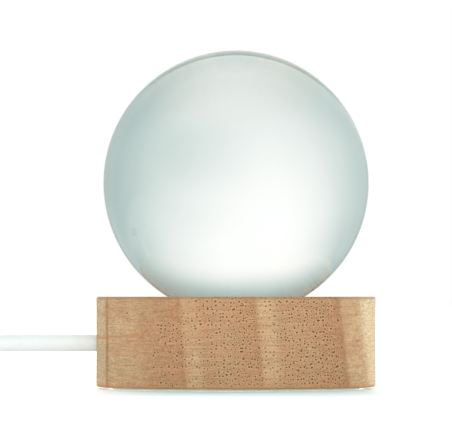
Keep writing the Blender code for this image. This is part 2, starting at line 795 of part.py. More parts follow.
def switch_contacts(place):
    """Two brass angles on the floor of the case and the blade that joins them, with their wires."""
    floor = SWITCH_WALL + GAP
    angle = [
        (0, 0),
        (CONTACT_FOOT, 0),
        (CONTACT_FOOT, CONTACT_THICKNESS),
        (CONTACT_THICKNESS, CONTACT_THICKNESS),
        (CONTACT_THICKNESS, CONTACT_HEIGHT),
        (0, CONTACT_HEIGHT),
    ]
    for name, side in (("switch_contact_in", 1), ("switch_contact_out", -1)):
        outline = [(side * x, z) for x, z in angle]
        spot = (side * CONTACT_SPACING / 2, 0, floor)
        outline_solid(name, outline, CONTACT_WIDTH, "gilt contact", parent=place, location=spot)
    half_blade = CONTACT_SPACING / 2 + CONTACT_THICKNESS
    blade_bottom = floor + CONTACT_HEIGHT + GAP
    blade = block(
        "switch_blade",
        (-half_blade, -CONTACT_WIDTH / 2, blade_bottom),
        (half_blade, CONTACT_WIDTH / 2, blade_bottom + CONTACT_THICKNESS),
        "gilt contact",
        parent=place,
    )
    reach = SWITCH_POCKET_LENGTH / 2 - GAP
    wire_height = floor + CONTACT_HEIGHT / 2
    for name, side in (("switch_wire_in", 1), ("switch_wire_out", -1)):
        contact_face = CONTACT_SPACING / 2 + CONTACT_THICKNESS + GAP
        route = [
            (side * reach, WIRE_SPREAD, switch_middle),
            (side * (reach - 2 * WIRE_RADIUS), WIRE_SPREAD, switch_middle),
            (side * (contact_face + 2 * WIRE_RADIUS), WIRE_SPREAD, wire_height),
            (side * contact_face, WIRE_SPREAD, wire_height),
        ]
        points = smooth_points(route, 2 * WIRE_RADIUS)
        tube(name, points, WIRE_RADIUS, "red wire", resolution=1, parent=place)
    beside = CONTACT_WIDTH / 2 + 3 * WIRE_RADIUS
    route = [
        (-reach, -WIRE_SPREAD, switch_middle),
        (-reach * 3 / 4, -(WIRE_SPREAD + beside) / 2, (switch_middle + wire_height) / 2),
        (-reach / 2, -beside, wire_height),
        (reach / 2, -beside, wire_height),
        (reach * 3 / 4, -(WIRE_SPREAD + beside) / 2, (switch_middle + wire_height) / 2),
        (reach, -WIRE_SPREAD, switch_middle),
    ]
    tube(
        "switch_through_wire",
        smooth_points(route, 3 * WIRE_RADIUS),
        WIRE_RADIUS,
        "black wire",
        resolution=1,
        parent=place,
    )
    return blade_bottom + CONTACT_THICKNESS


def switch_rocker(place, blade_top):
    """The rocker rests on its off stop, tilted about the stub pins that stand out of its sides."""
    axis = empty("rocker_axis", (0, 0, ROCKER_PIVOT_HEIGHT), place)
    axis.rotation_euler.y = math.radians(ROCKER_TILT_DEGREES)
    half = ROCKER_LENGTH / 2
    dip = [
        (half * share, ROCKER_RISE - ROCKER_DIP * (1 - share * share))
        for share in (1 - 2 * step / ROCKER_STEPS for step in range(ROCKER_STEPS + 1))
    ]
    nose_half = PIVOT_RADIUS
    nose_tip = blade_top + ROCKER_CLEARANCE - ROCKER_PIVOT_HEIGHT
    flank = -ROCKER_DEPTH * ROCKER_FLANK_SHARE
    underside = [
        (-half, 0),
        (-half / 2, flank),
        (-nose_half, -ROCKER_DEPTH),
        (-nose_half, nose_tip),
        (nose_half, nose_tip),
        (nose_half, -ROCKER_DEPTH),
        (half / 2, flank),
        (half, 0),
    ]
    rocker = frozen(
        outline_solid("switch_rocker", dip + underside, ROCKER_WIDTH, "white plastic", parent=axis),
        "white plastic",
    )
    reach = ROCKER_WIDTH / 2 + PIVOT_LENGTH
    pins = rod("rocker_pins", (0, -reach, 0), (0, reach, 0), PIVOT_RADIUS, SMALL_STEPS, parent=axis)
    combine(rocker, "UNION", pins)


def inline_switch():
    place = empty("switch_place", (SWITCH_X, SWITCH_Y, 0))
    switch_shells(place)
    switch_rocker(place, switch_contacts(place))


def coil_point(turn):
    """The coil's centreline: it spirals in on the lower layer and out again on the upper one."""
    middle = COIL_TURNS / 2
    spread = math.hypot(middle, COIL_TURNING_TURNS) - math.hypot(turn - middle, COIL_TURNING_TURNS)
    radius = COIL_OUTER_RADIUS - COIL_PITCH * spread
    climb = min(1, max(0, (turn - middle) / COIL_CLIMB_TURNS + 0.5))
    height = coil_low + COIL_LAYER_STEP * climb * climb * (3 - 2 * climb)
    angle = math.radians(COIL_START_DEGREES) - math.tau * turn
    return Vector((COIL_X + radius * math.cos(angle), COIL_Y + radius * math.sin(angle), height))


def coil_line():
    """The coil's points, with a straight run of one diameter at each end."""
    count = round(COIL_TURNS * COIL_POINTS_PER_TURN)
    points = [coil_point(COIL_TURNS * step / count) for step in range(count + 1)]
    straight = 2 * CORD_RADIUS
    before = points[0] + (points[0] - points[1]).normalized() * straight
    after = points[-1] + (points[-1] - points[-2]).normalized() * straight
    return [before, *points, after]


def least_gap(points, diameter):
    """The least clear distance between stretches of one tube that aren't neighbours along it."""
    steps = 6
    line = [a.lerp(b, step / steps) for a, b in zip(points, points[1:]) for step in range(steps)]
    apart = round(math.tau * diameter / (line[1] - line[0]).length)
    return min(
        (line[i] - line[j]).length for i in range(len(line)) for j in range(i + apart, len(line))
    ) - diameter


def lead_and_coil():
    """The lead from the clamp to the switch, on to the coil, round it, and to the plug."""
    coil = coil_line()
    lead = [
        (jacket_end, 0, cord_height),
        *LEAD_ROUTE,
        (SWITCH_X + SWITCH_POCKET_LENGTH / 2, SWITCH_Y, switch_middle),
    ]
    coil_start = coil[0] + (coil[0] - coil[1]).normalized() * GAP
    coil_end = coil[-1] + (coil[-1] - coil[-2]).normalized() * GAP
    run_in = coil_start + (coil[0] - coil[1]).normalized() * 2 * CORD_RADIUS
    run_out = coil_end + (coil[-1] - coil[-2]).normalized() * 2 * CORD_RADIUS
    link = [
        (SWITCH_X - SWITCH_POCKET_LENGTH / 2, SWITCH_Y, switch_middle),
        *LINK_ROUTE,
        run_in,
        coil_start,
    ]
    tail = [
        coil_end,
        run_out,
        *TAIL_ROUTE,
        (PLUG_X - GAP - 2 * CORD_RADIUS, PLUG_Y, plug_middle),
        (PLUG_X - GAP, PLUG_Y, plug_middle),
    ]
    total = 0
    for name, route in (("cord_lead", lead), ("cord_link", link), ("cord_tail", tail)):
        points = smooth_points(route, CORD_POINT_SPACING)
        tube(name, points, CORD_RADIUS, "white cord")
        total += sum((b - a).length for a, b in zip(points, points[1:]))
    tube("cord_coil", coil, CORD_RADIUS, "white cord", resolution=1)
    total += sum((b - a).length for a, b in zip(coil, coil[1:]))
    print(f"lead {total:.3f} m, least gap in the coil {least_gap(coil, 2 * CORD_RADIUS) * 1000:.2f} mm")


def cord_tie():
    """A flat band round the coil's turns, which lie on it."""
    middle = COIL_TURNS / 2
    inner_radius = (coil_point(middle) - Vector((COIL_X, COIL_Y, coil_high))).xy.length
    half = TIE_WIDTH / 2
    bore = math.sqrt((inner_radius - CORD_RADIUS) ** 2 - half**2) - GAP
    reach = COIL_OUTER_RADIUS + CORD_RADIUS + GAP
    top = coil_high + CORD_RADIUS + GAP
    tie = block(
        "cord_tie",
        (bore - TIE_THICKNESS, -half, 0),
        (reach + TIE_THICKNESS, half, top + TIE_THICKNESS),
        "white fabric",
        edge=TIE_CORNER_RADIUS,
        segments=2,
        location=(COIL_X, COIL_Y, 0),
    )
    inside = block(
        "tie_inside",
        (bore, -half - OVERRUN, TIE_THICKNESS),
        (reach, half + OVERRUN, top),
        location=(COIL_X, COIL_Y, 0),
    )
    for made in (tie, inside):
        made.rotation_euler.z = math.radians(TIE_DEGREES)
    cut(tie, inside)


def usb_plug():
    place = empty("plug_place", (PLUG_X, PLUG_Y, 0))
    half_width = PLUG_GRIP_WIDTH / 2
    grip_end = PLUG_TAIL_LENGTH + PLUG_GRIP_LENGTH
    grip = block(
        "plug_grip",
        (PLUG_TAIL_LENGTH, -half_width, 0),
        (grip_end, half_width, PLUG_GRIP_HEIGHT),
        "white plastic",
        edge=PLUG_GRIP_CORNER_RADIUS,
        parent=place,
    )
    tail = rod(
        "plug_tail",
        (0, 0, plug_middle),
        (PLUG_TAIL_LENGTH + PLUG_GRIP_CORNER_RADIUS, 0, plug_middle),
        PLUG_TAIL_RADII[0],
        MIDDLE_STEPS,
        end_radius=PLUG_TAIL_RADII[1],
        parent=place,
    )
    combine(grip, "UNION", tail)

    def across(name, x_low, x_high, width, height, inset=0, finish=None):
        """A box across the plug, centred on its middle and drawn in by the inset."""
        half, rise = width / 2 - inset, height / 2 - inset
        return block(
            name,
            (x_low, -half, plug_middle - rise),
            (x_high, half, plug_middle + rise),
            finish,
            parent=place,
        )

    shell_start = grip_end - PLUG_SHELL_INSIDE
    shell_end = grip_end + PLUG_SHELL_LENGTH
    size = (PLUG_SHELL_WIDTH, PLUG_SHELL_HEIGHT)
    cut(grip, across("grip_socket", shell_start - GAP, grip_end + OVERRUN, *size, inset=-GAP))
    shell = across("plug_shell", shell_start, shell_end, *size, finish="nickel steel")
    hollow_start = shell_start + PLUG_SHELL_WALL
    hollow = across("shell_hollow", hollow_start, shell_end + OVERRUN, *size, inset=PLUG_SHELL_WALL)
    latch_length, latch_width = PLUG_LATCH_SIZE
    latch_holes = [
        block(
            f"latch_hole_{number}",
            (grip_end + PLUG_LATCH_X - latch_length / 2, y - latch_width / 2, 0),
            (grip_end + PLUG_LATCH_X + latch_length / 2, y + latch_width / 2, PLUG_GRIP_HEIGHT),
            parent=place,
        )
        for number, y in enumerate((-PLUG_LATCH_SPACING / 2, PLUG_LATCH_SPACING / 2), 1)
    ]
    cut(shell, hollow, *latch_holes)

    tongue_bottom = plug_middle - PLUG_SHELL_HEIGHT / 2 + PLUG_SHELL_WALL + GAP
    tongue_top = tongue_bottom + PLUG_TONGUE_THICKNESS
    tongue_end = shell_end - PLUG_TONGUE_SETBACK
    tongue = block(
        "plug_tongue",
        (hollow_start + GAP, -PLUG_TONGUE_WIDTH / 2, tongue_bottom),
        (tongue_end, PLUG_TONGUE_WIDTH / 2, tongue_top),
        "white plastic",
        parent=place,
    )
    contact_end = tongue_end - PLUG_CONTACT_SETBACK
    contact_start = contact_end - PLUG_CONTACT_LENGTH
    contact_bottom = tongue_top - PLUG_CONTACT_SINK + GAP
    for number in range(PLUG_CONTACTS):
        y = (number - (PLUG_CONTACTS - 1) / 2) * PLUG_CONTACT_SPACING
        low, high = y - PLUG_CONTACT_WIDTH / 2, y + PLUG_CONTACT_WIDTH / 2
        block(
            f"plug_contact_{number + 1}",
            (contact_start, low, contact_bottom),
            (contact_end, high, contact_bottom + PLUG_CONTACT_THICKNESS),
            "gilt contact",
            parent=place,
        )
        groove = block(
            f"contact_groove_{number + 1}",
            (contact_start - GAP, low - GAP, tongue_top - PLUG_CONTACT_SINK),
            (contact_end + GAP, high + GAP, tongue_top + OVERRUN),
            parent=place,
        )
        cut(tongue, groove)


def main():
    for old in list(bpy.data.objects):
        bpy.data.objects.remove(old)
    for name in ("Crystal ball lamp", "Cutters"):
        bpy.context.scene.collection.children.link(bpy.data.collections.new(name))
    glass_ball()
    wooden_base()
    bottom_cover()
    led_window()
    led_holder()
    led_board()
    cord_clamp()
    base_wires()
    inline_switch()
    lead_and_coil()
    cord_tie()
    usb_plug()


if __name__ == "__main__":
    main()
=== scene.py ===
"""Dressed model of a crystal ball lamp: a clear glass ball on a round wooden base, with its lead,
rocker switch, put-away coil and plug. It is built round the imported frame, in metres, +Z up."""

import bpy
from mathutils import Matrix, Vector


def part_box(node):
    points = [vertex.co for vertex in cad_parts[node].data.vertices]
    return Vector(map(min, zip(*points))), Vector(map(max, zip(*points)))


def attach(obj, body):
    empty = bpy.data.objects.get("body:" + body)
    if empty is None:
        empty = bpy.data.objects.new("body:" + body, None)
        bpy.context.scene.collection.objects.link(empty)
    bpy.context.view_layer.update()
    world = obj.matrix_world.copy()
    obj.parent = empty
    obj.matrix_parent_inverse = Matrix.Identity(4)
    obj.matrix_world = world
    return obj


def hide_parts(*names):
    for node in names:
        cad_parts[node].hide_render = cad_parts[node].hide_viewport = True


bl_info = {
    "name": "Crystal Ball Lamp",
    "version": (1, 0, 0),
    "blender": (4, 5, 0),
    "location": "View3D > Sidebar > Ball Lamp",
    "description": "Builds a glass ball lamp on a wooden base, with its lead, switch and plug",
    "category": "Add Mesh",
}

import math

import bmesh
import bpy
from bpy.props import FloatProperty, FloatVectorProperty, IntProperty, PointerProperty
from mathutils import Matrix, Vector

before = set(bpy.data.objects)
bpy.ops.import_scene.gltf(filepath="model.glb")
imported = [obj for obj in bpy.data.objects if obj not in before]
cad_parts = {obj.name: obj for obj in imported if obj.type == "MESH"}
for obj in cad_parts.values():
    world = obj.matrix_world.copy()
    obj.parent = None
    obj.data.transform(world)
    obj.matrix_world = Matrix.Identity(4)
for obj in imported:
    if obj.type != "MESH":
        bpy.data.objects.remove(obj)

BALL_LOW, BALL_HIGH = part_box("crystal_ball")
BASE_LOW, BASE_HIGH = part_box("wood_base")
TIE_LOW, TIE_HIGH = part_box("cord_tie")
GRIP_LOW, GRIP_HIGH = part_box("plug_grip")
SHELL_LOW, SHELL_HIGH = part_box("plug_shell")
WINDOW_LOW, WINDOW_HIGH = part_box("led_window")
COVER_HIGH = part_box("bottom_cover")[1]

MM = 1000
PAST = 0.001  # how far a cutting tool stands past the face that it cuts

# Sizes that the drawing shares with the solid model
GAP = 0.0003
COVER_LEDGE_WIDTH = 0.005
WINDOW_FLANGE_WIDTH = 0.0026
WINDOW_FLANGE_THICKNESS = 0.001
CORD_HOLE_RADIUS = 0.00215
LEAD_EXIT = (-0.0315, 0.0, 0.01035)
LEAD_ROUTE = (
    (-0.0180, 0.0, 0.01035),
    (-0.0240, 0.0, 0.01035),
    LEAD_EXIT,
    (-0.0400, 0.0, 0.01035),
    (-0.0480, 0.0, 0.01035),
    (-0.0560, -0.0003, 0.01020),
    (-0.0635, -0.0028, 0.00910),
    (-0.0710, -0.0079, 0.00720),
    (-0.0780, -0.0148, 0.00580),
    (-0.0845, -0.0197, 0.00530),
    (-0.0905, -0.0210, 0.00550),
    (-0.0960, -0.0210, 0.00550),
    (-0.1020, -0.0210, 0.00550),
)
LINK_EXIT = (-0.1305, -0.0210, 0.00550)
LINK_ROUTE = (
    (-0.1210, -0.0210, 0.00550),
    (-0.1270, -0.0210, 0.00550),
    (-0.1325, -0.0212, 0.00545),
    (-0.1390, -0.0227, 0.00495),
    (-0.1455, -0.0248, 0.00400),
    (-0.1520, -0.0263, 0.00315),
)
TAIL_ROUTE = (
    (-0.1520, 0.0264, 0.00640),
    (-0.1460, 0.0249, 0.00550),
    (-0.1400, 0.0224, 0.00460),
    (-0.1340, 0.0198, 0.00410),
)
COIL_MIDDLE = (-0.1660, 0.0)
COIL_OUTER_RADIUS = 0.0265
COIL_PITCH = 0.0043
COIL_LAYER_STEP = 0.0042
COIL_TURNS = 6.5
COIL_START_DEGREES = -90
COIL_TURNING_TURNS = 0.08
COIL_CLIMB_TURNS = 0.5
COIL_UNDERSIDE = 0.0009
SWITCH_MIDDLE = Vector((-0.1115, -0.0210, 0.0))
SWITCH_SIZE = Vector((0.0380, 0.0150, 0.0110))
SWITCH_PIVOT_HEIGHT = 0.0083
SWITCH_CORNER = 0.0016
ROCKER_TILT_DEGREES = 8
ROCKER_SIZE = Vector((0.0100, 0.0068, 0.0036))
PIVOT_RADIUS = 0.0008
PIVOT_REACH = 0.0048
PIVOT_CLEARANCE = 0.0002
PLUG_START = Vector((-0.1250, 0.0190, 0.0040))
PLUG_TAIL_LENGTH = 0.0085
PLUG_TAIL_RADIUS = 0.0024
ROCKER_NOSE_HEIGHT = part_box("switch_blade")[1].z + GAP
SCREW_HEAD_HEIGHT = 0.0009
SCREWS = {"cover": 3, "holder": 2, "board": 2, "clamp": 2, "switch": 2}

# Sizes that only the drawing has
SCREW_HOLE_RADIUS = 0.0011
SCREW_HEAD_HOLE_RADIUS = 0.0018
PLUG_CORNER = 0.0018
POINT_SPACING = 0.0018
CAMERA_TILT_DEGREES = 1.06
CAMERA_TURN_DEGREES = 0.132


# Settings that a user would change


def measure(name, description, default, unit="LENGTH"):
    return FloatProperty(
        name=name, description=description, default=default, unit=unit, precision=5
    )


def colour(name, description, red, green, blue):
    """A colour property whose default is given as 8-bit display values."""
    return FloatVectorProperty(
        name=name,
        description=description,
        subtype="COLOR",
        size=3,
        min=0,
        max=1,
        default=display(red, green, blue),
    )


def display(red, green, blue):
    """Linear light for a colour given as 8-bit display values."""
    return tuple(
        (level / 255) / 12.92 if level <= 10 else ((level / 255 + 0.055) / 1.055) ** 2.4
        for level in (red, green, blue)
    )


def mixed(first, second, share):
    """A colour between two plain colours."""
    return tuple(a + (b - a) * share for a, b in zip(first, second))


class BallLampSizes(bpy.types.PropertyGroup):
    ball_radius: measure("Ball radius", "Radius of the glass ball", (BALL_HIGH.z - BALL_LOW.z) / 2)
    base_radius: measure("Base radius", "Outer radius of the wooden base", BASE_HIGH.x)
    base_arris: measure("Base arris", "Radius worn on the edges of the base", 0.0005)
    cord_diameter: measure("Cord diameter", "Thickness of the lead's jacket", 0.0037)
    base_steps: IntProperty(
        name="Base steps", description="Facets round the base", default=192, min=24
    )


class BallLampColours(bpy.types.PropertyGroup):
    glass: colour("Glass", "Tint of the solid glass", 251, 254, 253)
    wood_pale: colour("Early wood", "Wood just after a growth boundary", 203, 168, 128)
    wood_tan: colour("Middle wood", "Wood half way through a year", 187, 144, 106)
    wood_brown: colour("Late wood", "Wood just before a growth boundary", 182, 134, 95)
    wood_warm: colour("Warm wood", "Pinker patches in the wood", 192, 145, 106)
    wood_edge: colour("Arris", "Wood burnished on the edges", 200, 142, 86)
    pore: colour("Pores", "Inside of the open pores", 104, 60, 8)
    jacket: colour("Lead", "Soft jacket of the lead and the plug", 234, 239, 239)
    plastic: colour("Plastic", "Moulded switch and inner parts", 238, 240, 238)
    metal: colour("Nickel", "Plating of the plug's shell", 205, 204, 200)


class BallLampStage(bpy.types.PropertyGroup):
    lens: measure("Lens", "Focal length of the camera", 345.3, "CAMERA")
    distance: measure("Distance", "Camera to the axis of the lamp", 0.98)
    height: measure("Camera height", "Camera over the table", BASE_HIGH.z)
    back_power: measure("Back light", "Power of the soft light behind", 5.0, "POWER")
    front_power: measure("Front light", "Power of the soft light in front", 15.2, "POWER")
    rim_power: measure("Rim light", "Power of the light behind on the right", 12.0, "POWER")


def sizes():
    return bpy.context.scene.ball_lamp_sizes


def colours():
    return bpy.context.scene.ball_lamp_colours


# Shader maths


class Term:
    """A shader socket in a sum: each operator adds one Math node to its graph."""

    def __init__(self, graph, socket):
        self.graph, self.socket = graph, socket

    def maths(self, operation, *values):
        return self.graph.add("ShaderNodeMath", {"operation": operation}, dict(enumerate(values)))

    def __add__(self, other):
        return self.maths("ADD", self, other)

    __radd__ = __add__

    def __sub__(self, other):
        return self.maths("SUBTRACT", self, other)

    def __rsub__(self, other):
        return self.maths("SUBTRACT", other, self)

    def __mul__(self, other):
        return self.maths("MULTIPLY", self, other)

    __rmul__ = __mul__

    def __truediv__(self, other):
        return self.maths("DIVIDE", self, other)

    def __rtruediv__(self, other):
        return self.maths("DIVIDE", other, self)

    def __pow__(self, power):
        return self.maths("POWER", self, power)

    def __abs__(self):
        return self.maths("ABSOLUTE", self)

    def other(self, name):
        """Another output of the node that this socket is on."""
        return Term(self.graph, self.socket.node.outputs[name])


def norm(*parts):
    """The length of a vector whose parts are terms."""
    return sum(part * part for part in parts) ** 0.5


class Graph:
    """The node tree of one finish, or of the world."""

    def __init__(self, tree):
        self.tree = tree
        tree.nodes.clear()

    def node(self, kind, settings, inputs):
        """One node: its settings, then the values or links of its sockets."""
        node = self.tree.nodes.new(kind)
        for name, value in (settings or {}).items():
            if name == "stops":
                ramp = node.color_ramp
                while len(ramp.elements) < len(value):
                    ramp.elements.new(1)
                for stop, (place, shade) in zip(ramp.elements, value):
                    stop.position, stop.color = place, (*shade, 1)
            else:
                setattr(node, name, value)
        for name, value in (inputs or {}).items():
            socket = self.find(node.inputs, name)
            if isinstance(value, Term):
                self.tree.links.new(value.socket, socket)
            elif hasattr(socket.default_value, "__len__") and len(socket.default_value) == 4:
                socket.default_value = (*value[:3], 1)
            else:
                socket.default_value = value
        return node

    def add(self, kind, settings=None, inputs=None, out=0):
        """An output of a new node."""
        return Term(self, self.find(self.node(kind, settings, inputs).outputs, out))

    @staticmethod
    def find(sockets, name):
        if isinstance(name, int):
            return sockets[name]
        return next(s for s in sockets if name in (s.identifier, s.name) and s.enabled)

    def mix(self, share, first, second):
        """A colour between two, by a share from 0 to 1."""
        return self.add(
            "ShaderNodeMix",
            {"data_type": "RGBA"},
            {"Factor_Float": share, "A_Color": first, "B_Color": second},
            out="Result_Color",
        )

    def blend(self, share, first, second):
        """A shader between two."""
        return self.add("ShaderNodeMixShader", {}, {0: share, 1: first, 2: second})

    def glassy(self):
        """The light path, and 1 for the rays that glass or metal sends on."""
        path = self.add("ShaderNodeLightPath", out="Is Glossy Ray")
        sent = path + path.other("Is Transmission Ray")
        return path, sent.maths("MINIMUM", sent, 1.0)

    def end(self, shader, kind="ShaderNodeOutputMaterial"):
        """Links the shader to the output of the tree."""
        self.node(kind, {}, {"Surface": shader})

    def place(self):
        """The point on the piece, in millimetres in its own frame."""
        return self.scaled(self.add("ShaderNodeTexCoord", out="Object"), MM)

    def stretched(self, point, x, y, z):
        """The point with each of its axes scaled."""
        return self.add(
            "ShaderNodeVectorMath", {"operation": "MULTIPLY"}, {0: point, 1: (x, y, z)}
        )

    def split(self, point):
        x = self.add("ShaderNodeSeparateXYZ", inputs={"Vector": point}, out="X")
        return x, x.other("Y"), x.other("Z")

    def noise(self, point, scale, detail=2.0, roughness=0.5):
        return self.add(
            "ShaderNodeTexNoise",
            {},
            {"Vector": point, "Scale": scale, "Detail": detail, "Roughness": roughness},
            out="Fac",
        )

    def step(self, value, low, high):
        """0 below low, 1 above high and smooth between them; turned round where low is higher."""
        return self.add(
            "ShaderNodeMapRange",
            {"interpolation_type": "SMOOTHSTEP", "clamp": True},
            {"Value": value, "From Min": low, "From Max": high, "To Min": 0.0, "To Max": 1.0},
        )

    def ramp(self, value, *stops):
        return self.add("ShaderNodeValToRGB", {"stops": stops}, {"Fac": value}, out="Color")

    def bump(self, height, strength, distance):
        return self.add(
            "ShaderNodeBump",
            {},
            {"Strength": strength, "Distance": distance, "Height": height},
            out="Normal",
        )

    def scaled(self, vector, scale):
        return self.add(
            "ShaderNodeVectorMath", {"operation": "SCALE"}, {"Vector": vector, "Scale": scale}
        )


FULL_NAMES = {
    "Base": "Base Color",
    "Specular": "Specular IOR Level",
    "Transmission": "Transmission Weight",
    "Sheen": "Sheen Weight",
}


class Finish(Graph):
    """The material of one finish."""

    def __init__(self, name):
        self.material = bpy.data.materials.new(name)
        self.material.use_nodes = True
        super().__init__(self.material.node_tree)

    def principled(self, **inputs):
        named = {name.replace("_", " "): value for name, value in inputs.items()}
        named = {FULL_NAMES.get(name, name): value for name, value in named.items()}
        return self.add("ShaderNodeBsdfPrincipled", {}, named, out="BSDF")

    def done(self, shader):
        self.end(shader)
        return self.material

    def surface(self, **inputs):
        return self.done(self.principled(**inputs))


# Finishes


def once(make):
    """Each finish is made the first time that a piece asks for it, once for each kind of it."""

    def given(kind="", *details):
        name = f"{make.__name__} {kind}".replace("_", " ").strip()
        return bpy.data.materials.get(name) or make(Finish(name), *details)

    return given


@once
def clear_glass(graph):
    """Polished optical glass: faint striae in its tint, and let through by rays from lamps."""
    point = graph.place()
    striae = graph.noise(graph.stretched(point, 1, 1, 2.5), 0.06, 3.0)
    tint = graph.mix(striae, tuple(colours().glass), (1, 1, 1))
    haze = graph.noise(point, 0.35, 4.0) * 0.004
    glass = graph.principled(
        Base=tint, Roughness=haze, IOR=1.5, Transmission=1.0, Specular=0.5
    )
    path = graph.add("ShaderNodeLightPath", out="Is Shadow Ray")
    lamp = path.maths("MAXIMUM", path, path.other("Is Diffuse Ray"))
    clear = graph.add("ShaderNodeBsdfTransparent", {}, {"Color": (0.93, 0.96, 0.95)})
    return graph.done(graph.blend(lamp, glass, clear))


@once
def pale_hardwood(graph):
    """Solid wood whose fibres run along Y: growth rings across X, rays along X and open pores."""
    shade, step, mix = colours(), graph.step, graph.mix
    point = graph.place()
    x, y, z = graph.split(point)
    middle = (BASE_LOW.z + BASE_HIGH.z) / 2 * MM
    wander = graph.noise(graph.stretched(point, 0.10, 0.015, 0.10), 1.0, 3.0)
    # The rings lean more towards the right, and their number rises with the way across
    across = x + (z - middle) * (x * 0.00143 + 0.094) + (wander - 0.5) * 0.5
    phase = (
        across * across * across * -3.9e-6 - across * across * 1.10573e-4 + across * 0.0590013
    ) + 10.695
    year = phase.maths("FRACT", phase)
    pale, tan, brown = tuple(shade.wood_pale), tuple(shade.wood_tan), tuple(shade.wood_brown)
    early = mixed(pale, tan, 0.20)
    rings = graph.ramp(
        year,
        (0.0, mixed(brown, early, 0.45)),
        (0.045, early),
        (0.17, early),
        (0.27, tan),
        (0.60, tan),
        (0.90, brown),
        (0.975, mixed(brown, tuple(shade.pore), 0.13)),
        (1.0, mixed(brown, pale, 0.15)),
    )
    plain = 1 - step(across, -24.0, -18.5) + step(across, 23.6, 24.8)
    base = mix(plain * 0.85, rings, pale)
    # A painted highlight on the left side of the base, where light falls across it, and the dark
    # line of the first ring
    leftmost = mix(1 - step(x, -29.4, -29.0), base, display(207, 178, 137))
    first = 1 - step(abs(x + 28.75 - (wander - 0.5) * 0.3), 0.08, 0.45)
    lined = mix(first * 0.80, leftmost, display(168, 120, 70))
    # Slow drift of tone, fibres and rays
    clouds = graph.noise(graph.stretched(point, 0.16, 0.02, 0.22), 1.0, 4.0, 0.6)
    fibres = graph.noise(graph.stretched(point, 2.6, 0.10, 2.6), 1.0, 5.0, 0.7)
    rays = graph.noise(graph.stretched(point, 0.10, 0.35, 3.4), 1.0, 4.0, 0.65)
    warm = mix(step(clouds, 0.44, 0.60) * 0.55, lined, tuple(shade.wood_warm))
    green = step(clouds, 0.46, 0.36) * 0.45
    warm = mix(green, warm, display(188, 157, 112))
    # A painted highlight on the right side of the base, where the rim light falls
    warm = mix(step(across, 27.4, 29.8), warm, display(222, 197, 158))
    speck = (fibres - 0.5) * 1.50 + (rays - 0.5) * 1.02 + (clouds - 0.5) * 0.10 + 1.0
    toned = graph.scaled(warm, speck)
    # Pores: vessels that run along the fibres, so they show as dots here and as lines on the top
    drift = graph.noise(graph.stretched(point, 0.3, 0.05, 0.3), 1.0, 2.0)
    cut = graph.add("ShaderNodeCombineXYZ", {}, {"X": x + drift * 0.9, "Y": z + drift * 0.7})
    vessels = graph.add(
        "ShaderNodeTexVoronoi",
        {"voronoi_dimensions": "2D", "feature": "F1"},
        {"Vector": cut, "Scale": 1.18, "Randomness": 0.82},
        out="Distance",
    )
    chance = graph.add(
        "ShaderNodeSeparateColor", {}, {"Color": vessels.other("Color")}, out="Red"
    )
    zone = step(across, -12.4, -10.6) * (1 - step(across, 22.0, 24.0))
    zone = zone * (step(across, -3.0, 2.0) * 0.20 + 0.80)
    group = step(clouds, 0.46, 0.52) * step(across, -19.5, -17.0)
    group = group * (1 - step(across, -11.5, -10.0))
    share = zone * (step(year, 0.0, 0.60) * 0.50 + 0.48) + group * 0.66 + 0.006
    kept = share.maths("GREATER_THAN", share, chance)
    vigour = chance.other("Green") * 0.62 + 0.66
    spread = vessels / vigour
    pore = (1 - step(spread, 0.15, 0.285)) * kept
    halo = (1 - step(spread, 0.285, 0.47)) * kept
    haloed = mix(halo * 0.55, toned, display(215, 176, 133))
    depth = step(year, 0.05, 0.35) * 0.24 + 0.68
    pored = mix(pore * depth, haloed, tuple(shade.pore))
    # A mineral streak on the side of the lead, and edges burnished by sanding
    off = abs(z - x * 0.06 - 13.5 - (wander - 0.5) * 0.6)
    streak = (1 - step(off, 0.10, 0.55)) * (1 - step(x, -27.0, -14.0))
    streaked = mix(streak * (clouds * 1.4 - 0.15), pored, display(193, 128, 76))
    outer, top, bottom = BASE_HIGH.x * MM, BASE_HIGH.z * MM, BASE_LOW.z * MM
    out_by = norm(x, y) - outer
    upper, lower = norm(out_by, z - top), norm(out_by, z - bottom)
    rubbed = 1 - step(upper.maths("MINIMUM", upper, lower), 0.30, 0.85)
    arris = mix(step(z, middle, top), tuple(shade.wood_edge), display(158, 124, 94))
    relief = rays * 0.35 + fibres * 0.35 - pore * 1.2
    return graph.surface(
        Base=mix(rubbed * 0.62, streaked, arris),
        Roughness=fibres * 0.16 + 0.50 - rubbed * 0.10,
        Specular=0.30,
        Normal=graph.bump(relief, 0.35, 0.00006),
    )


@once
def soft_jacket(graph):
    """Satin white jacket with a fine draw texture and a breath of dust."""
    point = graph.place()
    dust = graph.noise(point, 0.35, 4.0, 0.6)
    drawn = graph.noise(point, 5.5, 3.0, 0.6)
    white = tuple(colours().jacket)
    dusty = mixed(white, (0.62, 0.66, 0.64), 0.16)
    return graph.surface(
        Base=graph.mix(graph.step(dust, 0.45, 0.75) * 0.5, white, dusty),
        Roughness=drawn * 0.14 + 0.36,
        Specular=0.42,
        Normal=graph.bump(drawn, 0.10, 0.00003),
    )


@once
def moulded_plastic(graph, tint, roughness, grain=4.5, depth=0.22):
    """White moulded plastic with a spark-eroded grain, faint flow marks and a little dust."""
    point = graph.place()
    white = tuple(a * b for a, b in zip(colours().plastic, tint))
    flow = graph.noise(graph.stretched(point, 0.25, 0.08, 0.25), 1.0, 3.0)
    spark = graph.noise(point, grain, 3.0, 0.6)
    tone = graph.mix(flow * 0.5, white, mixed(white, (0.55, 0.57, 0.54), 0.10))
    return graph.surface(
        Base=tone,
        Roughness=spark * 0.16 + (roughness - 0.08),
        Specular=0.45,
        Normal=graph.bump(spark, depth, 0.00004),
    )


